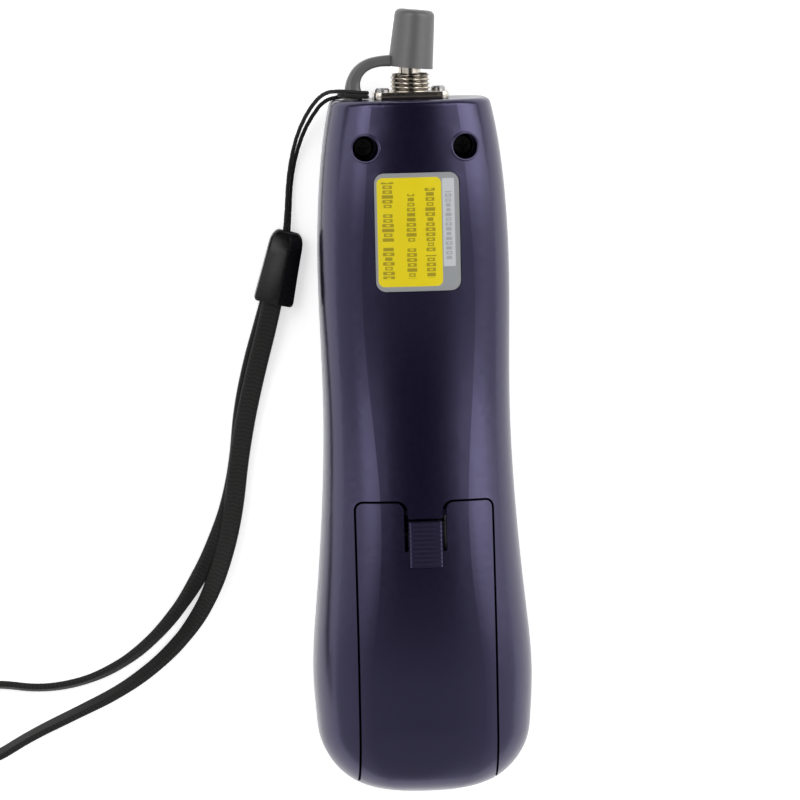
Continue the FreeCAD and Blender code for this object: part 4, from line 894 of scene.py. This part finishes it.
def build_port():
    """The threaded tube and its flange."""
    stations = [(along, lambda share, r=radius: r) for along, radius in BARREL]
    length = THREAD_END - THREAD_START
    steps = round(length / THREAD_PITCH * THREAD_STEPS)
    for step in range(1, steps):
        along = THREAD_START + length * step / steps
        stations.append((along, lambda share, at=along: thread_radius(at, share)))
    stations += [(along, lambda share, r=radius: r) for along, radius in BARREL_END]
    verts = []
    for along, radius in stations:
        for side in range(BARREL_SIDES):
            share = side / BARREL_SIDES
            reach = radius(share)
            verts.append(mm(reach * math.cos(math.tau * share), TOP_Y + along,
                            SEAM_Z + reach * math.sin(math.tau * share)))
    faces = ring_faces(len(stations), BARREL_SIDES, joined=True)
    loops = [plate_loop(FLANGE_WIDTH, FLANGE_HEIGHT, FLANGE_CORNER),
             round_loop(64, 0, 0, THREAD_RADIUS - 0.2)]
    loops += [round_loop(32, x, z, FLANGE_SCREW_HOLE) for x, z in FLANGE_SCREWS]
    plate_verts, plate_faces = flat_plate(loops, FLANGE_THICK, 0.12)
    start = len(verts)
    for spot in plate_verts:
        verts.append(Vector((spot.x, TOP_Y * MM + FLANGE_THICK / 2 * MM - spot.z,
                             SEAM_Z * MM + spot.y)))
    faces += [tuple(start + index for index in face) for face in plate_faces]
    piece = new_piece("threaded_port", verts, faces, "fc_receptacle", own_slot="port_metal")
    piece.data.set_sharp_from_angle(angle=math.radians(32))
    return piece


# ---------------------------------------------------------------- cap tether

# From the cap to the foot's peg: middle (x, and y from the housing's top wall), thickness,
# width, and squareness of the section, where 2 is round and more is squarer.
TETHER_STATIONS = (
    (-3.9, 7.65, 2.3, 3.6, 5.0), (-4.6, 7.65, 2.25, 3.5, 5.0), (-6.2, 7.55, 2.15, 3.4, 5.0),
    (-8.0, 7.15, 2.2, 3.4, 5.0), (-9.5, 6.35, 2.3, 3.4, 5.0), (-10.6, 5.2, 2.45, 3.4, 5.0),
    (-11.25, 3.8, 2.7, 3.5, 4.0), (-11.45, 2.5, 3.1, 3.7, 3.2), (-11.4, 1.3, 3.6, 4.1, 2.6),
    (-11.3, 0.4, 4.3, 4.5, 2.2), (-11.25, 0.05, 4.6, 4.6, 2.0), (-11.2, -0.05, 3.0, 3.0, 2.0),
    (-11.2, -1.1, 3.0, 3.0, 2.0), (-11.2, -1.9, 3.0, 3.0, 2.0), (-11.2, -2.05, 4.3, 4.3, 2.0),
    (-11.2, -2.9, 4.2, 4.2, 2.0), (-11.2, -3.1, 3.4, 3.4, 2.0))
SMOOTH_STATIONS = 11               # up to here the stations are joined by a smooth curve
TETHER_SIDES = 32
BEND_START, BEND_END = (-11.2, 3.5), (-5.4, 7.1)   # middles between which the strap bends


def blend_stations(stations, count, steps):
    """More stations along a smooth curve through the first of them."""
    result = []
    for index in range(count - 1):
        before = stations[max(index - 1, 0)]
        first, second = stations[index], stations[index + 1]
        after = stations[min(index + 2, count - 1)]
        for step in range(steps):
            part = step / steps
            result.append(tuple(0.5 * (
                2 * b + (c - a) * part + (2 * a - 5 * b + 4 * c - d) * part ** 2
                + (3 * b - a - 3 * c + d) * part ** 3)
                for a, b, c, d in zip(before, first, second, after)))
    return result + list(stations[count - 1:])


def build_tether():
    """The rubber strap from the cap to its foot, which bends when the cap is pulled."""
    stations = blend_stations(TETHER_STATIONS, SMOOTH_STATIONS, 5)
    middles = [mm(x, TOP_Y + rise, SEAM_Z) for x, rise, *_ in stations]
    verts = []
    for middle, heading, (_, _, thick, width, square) in zip(middles, headings(middles),
                                                             stations):
        side = heading.cross(Vector((0, 0, 1))).normalized()
        for number in range(TETHER_SIDES):
            angle = math.tau * number / TETHER_SIDES
            across, up = math.cos(angle), math.sin(angle)
            reach = (abs(across) ** square + abs(up) ** square) ** (-1 / square)
            verts.append(middle + side * (reach * across * thick / 2 * MM)
                         + Vector((0, 0, reach * up * width / 2 * MM)))
    piece = new_piece("rubber_tether", verts, ring_faces(len(stations), TETHER_SIDES),
                      "cap_tether", body=None, own_slot="cap_rubber")
    start, end = (tuple(mm(x, TOP_Y + rise, SEAM_Z)) for x, rise in (BEND_START, BEND_END))
    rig.blend(piece, "root", "dust_cap", start=start, end=end)
    return piece


# ---------------------------------------------------------------- housing details

def surface_of(name):
    """Looks straight down on a CAD node: gives its height at (x, y), in millimetres."""
    tree = BVHTree.FromObject(NODES[name], bpy.context.evaluated_depsgraph_get())

    def height(x, y):
        spot = tree.ray_cast(mm(x, y, 100.0), Vector((0, 0, -1)))[0]
        return spot.z / MM
    return height


SCREWS_LOW, SCREWS_HIGH = box_mm("case_screws")
SCREW_HEAD = 2.2                   # radius
WELL_X = SCREWS_HIGH.x - SCREW_HEAD
WELL_Y = (SCREWS_LOW.y + SCREWS_HIGH.y) / 2
WELL_RADIUS = 2.55
LIP_RADIUS = 0.3
LIP_OUT = 0.16                     # how far the lip's middle lies outside the well's edge
LIP_SUNK = 0.35                    # how far it lies under the paint, as a share of its radius
LIP_STEPS, LIP_SIDES = 72, 10


def build_lips():
    """The rounded edge of the paint round each screw well."""
    height = surface_of("rear_shell")
    for name, side in (("left_well_lip", -1), ("right_well_lip", 1)):
        verts = []
        for step in range(LIP_STEPS):
            angle = math.tau * step / LIP_STEPS
            outward = Vector((math.cos(angle), math.sin(angle), 0))
            probe = WELL_RADIUS + LIP_RADIUS
            low = height(side * WELL_X + probe * outward.x, WELL_Y + probe * outward.y)
            reach = WELL_RADIUS + LIP_OUT
            middle = mm(side * WELL_X + reach * outward.x, WELL_Y + reach * outward.y,
                        low - LIP_SUNK * LIP_RADIUS)
            for number in range(LIP_SIDES):
                turn = math.tau * number / LIP_SIDES
                verts.append(middle + outward * (LIP_RADIUS * MM * math.cos(turn))
                             + Vector((0, 0, LIP_RADIUS * MM * math.sin(turn))))
        new_piece(name, verts, ring_faces(LIP_STEPS, LIP_SIDES, joined=True), "rear_shell",
                  own_slot="housing", stands_in=False)


GRIP_HALF = 3.32
DOOR_TOP = box_mm("battery_door")[1].y
GRIP_TOP, GRIP_FOOT = DOOR_TOP - 3.7, DOOR_TOP - 12.9
GRIP_PITCH = 0.87
GRIP_BASE, GRIP_RIDGE = 0.41, 0.045
GRIP_SUNK = 0.05                   # how far its rim lies under the tongue's surface
GRIP_EDGE = 0.22                   # width of its sides' slope
GRIP_ENDS = 4                      # rows of the slope at its ends
GRIP_COLUMNS, GRIP_ROWS = 42, 220


def build_grip():
    """The fine ridges across the latch tongue, laid over its plain ribs."""
    height = surface_of("battery_door")
    verts = []
    for row in range(GRIP_ROWS + 1):
        part = row / GRIP_ROWS
        y = GRIP_TOP + (GRIP_FOOT - GRIP_TOP) * part
        wave = 0.5 - 0.5 * math.cos(math.tau * (GRIP_TOP - y) / GRIP_PITCH)
        rim = min(1.0, min(part, 1 - part) * GRIP_ROWS / GRIP_ENDS)
        for column in range(GRIP_COLUMNS + 1):
            x = GRIP_HALF * (2 * column / GRIP_COLUMNS - 1)
            above, below = height(x, GRIP_TOP - 0.1), height(x, GRIP_FOOT - 0.6)
            side = min(1.0, (GRIP_HALF - abs(x)) / GRIP_EDGE)
            raised = (GRIP_BASE + GRIP_RIDGE * wave) * min(side, rim) ** 0.5 - GRIP_SUNK
            verts.append(mm(x, y, above + (below - above) * part + raised))
    faces = []
    for row in range(GRIP_ROWS):
        for column in range(GRIP_COLUMNS):
            first = row * (GRIP_COLUMNS + 1) + column
            below = first + GRIP_COLUMNS + 1
            faces.append((first, first + 1, below + 1, below))
    new_piece("latch_grip", verts, faces, "battery_door", body="battery_door",
              own_slot="housing", stands_in=False, finish="latch_ridges")


cord, cord_line, cord_length = build_cord()
webbing, webbing_line, webbing_length = build_webbing()
clasp = build_clasp()
build_port()
build_tether()
build_lips()
build_grip()
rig.cord(cord, exit=cord_line[CORD_EXIT], length=cord_length, diameter=CORD_DIAMETER * MM,
        far_end="fitting", stiffness="limp", path=cord_line, with_pieces=[clasp])
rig.cord(webbing, exit=webbing_line[0], length=webbing_length, diameter=WEBBING_WIDTH * MM,
        far_end="fitting", stiffness="limp", path=webbing_line, with_pieces=[clasp])


# ---------------------------------------------------------------- stage

FLOOR_SIZE = 3.0
FLOOR_DROP = 0.02 * MM
FLOOR_GLOW = 0.6


def build_floor():
    """A pale sheet that keeps the object's shadow and is white where it is seen."""
    half = FLOOR_SIZE / 2
    mesh = bpy.data.meshes.new("floor")
    corners = [(x, y, -FLOOR_DROP) for x, y in ((-half, -half), (half, -half), (half, half),
                                                (-half, half))]
    mesh.from_pydata(corners, [], [(0, 1, 2, 3)])
    floor = bpy.data.objects.new("floor", mesh)
    bpy.context.scene.collection.objects.link(floor)
    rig.stage(floor)
    shader = Shader("floor_paper", (0.8, 0.8, 0.8), 0.9, Specular_IOR_Level=0.0,
                    Emission_Color=(1.0, 1.0, 1.0, 1.0))
    glow = shader.product(shader.seen_directly(), FLOOR_GLOW)
    shader.feed(shader.surface.inputs["Emission Strength"], glow)
    mesh.materials.append(shader.material)


# The studio's sky, in degrees from straight up: across is towards the meter's right and
# along is towards its top. Each softbox has its side, inner edge, outer edge, what is left
# of it beyond that, and the two steps in which it brightens along.
LEFT_BOX = (-1.0, (9.0, 26.0), (38.0, 56.0), 0.45, (-4.5, 1.5, 1.7), (1.5, 20.0, 1.9))
RIGHT_BOX = (1.0, (14.0, 37.0), (52.0, 84.0), 0.55, (-7.0, 2.5, 2.7), (2.5, 26.0, 1.2))
BOX_FAR = (38.0, 62.0)             # both boxes end here, towards the meter's top
NEAR_SIDE = (-15.0, -2.0, 0.53)    # pale wall towards the meter's foot
SIDE_WALLS = (15.0, 60.0, 0.25, 0.12)  # on both sides, and how much more on the right
OVERHEAD = 0.008


def build_world():
    """A dark patch overhead, a softbox on each side of it and pale walls around."""
    world = bpy.data.worlds.new("world")
    bpy.context.scene.world = world
    world.use_nodes = True
    graph = Graph(world.node_tree)
    place = graph.node("ShaderNodeTexCoord").outputs["Generated"]
    x, y, z = graph.node("ShaderNodeSeparateXYZ", ((0, place),)).outputs

    def degrees(value):
        return graph.product(value, math.degrees(1))

    across = degrees(graph.math("ARCTAN2", x, z))
    along = degrees(graph.math("ARCTAN2", y, z))
    far = graph.spread(along, *BOX_FAR, 1.0, 0.0, smooth=True)
    parts = []
    for side, inner, outer, rest, first, second in (LEFT_BOX, RIGHT_BOX):
        off = graph.product(across, side)
        rise = [graph.spread(along, low, high, 0.0, bright) for low, high, bright in (
            first, second)]
        parts.append(graph.product(graph.spread(off, *inner, smooth=True),
                                   graph.spread(off, *outer, 1.0, rest, smooth=True),
                                   far, graph.total(*rise)))
    low, high, bright = NEAR_SIDE
    parts.append(graph.spread(along, low, high, bright, OVERHEAD, smooth=True))
    low, high, bright, right_more = SIDE_WALLS
    parts.append(graph.spread(graph.math("ABSOLUTE", across), low, high, 0.0, bright,
                              smooth=True))
    parts.append(graph.spread(across, low, high, 0.0, right_more, smooth=True))
    lit = graph.total(*parts)
    behind = graph.node("ShaderNodeLightPath").outputs["Is Camera Ray"]
    hidden = graph.product(lit, graph.math("SUBTRACT", 1.0, behind))
    background = world.node_tree.nodes["Background"]
    background.inputs["Color"].default_value = (1.0, 1.0, 1.0, 1.0)
    graph.feed(background.inputs["Strength"], graph.total(hidden, behind))


build_floor()
build_world()

with open("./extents.json", "w") as handle:
    json.dump({"cad": [list(corner) for corner in cad_box],
               "visual": [list(corner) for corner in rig.bounds()]}, handle)
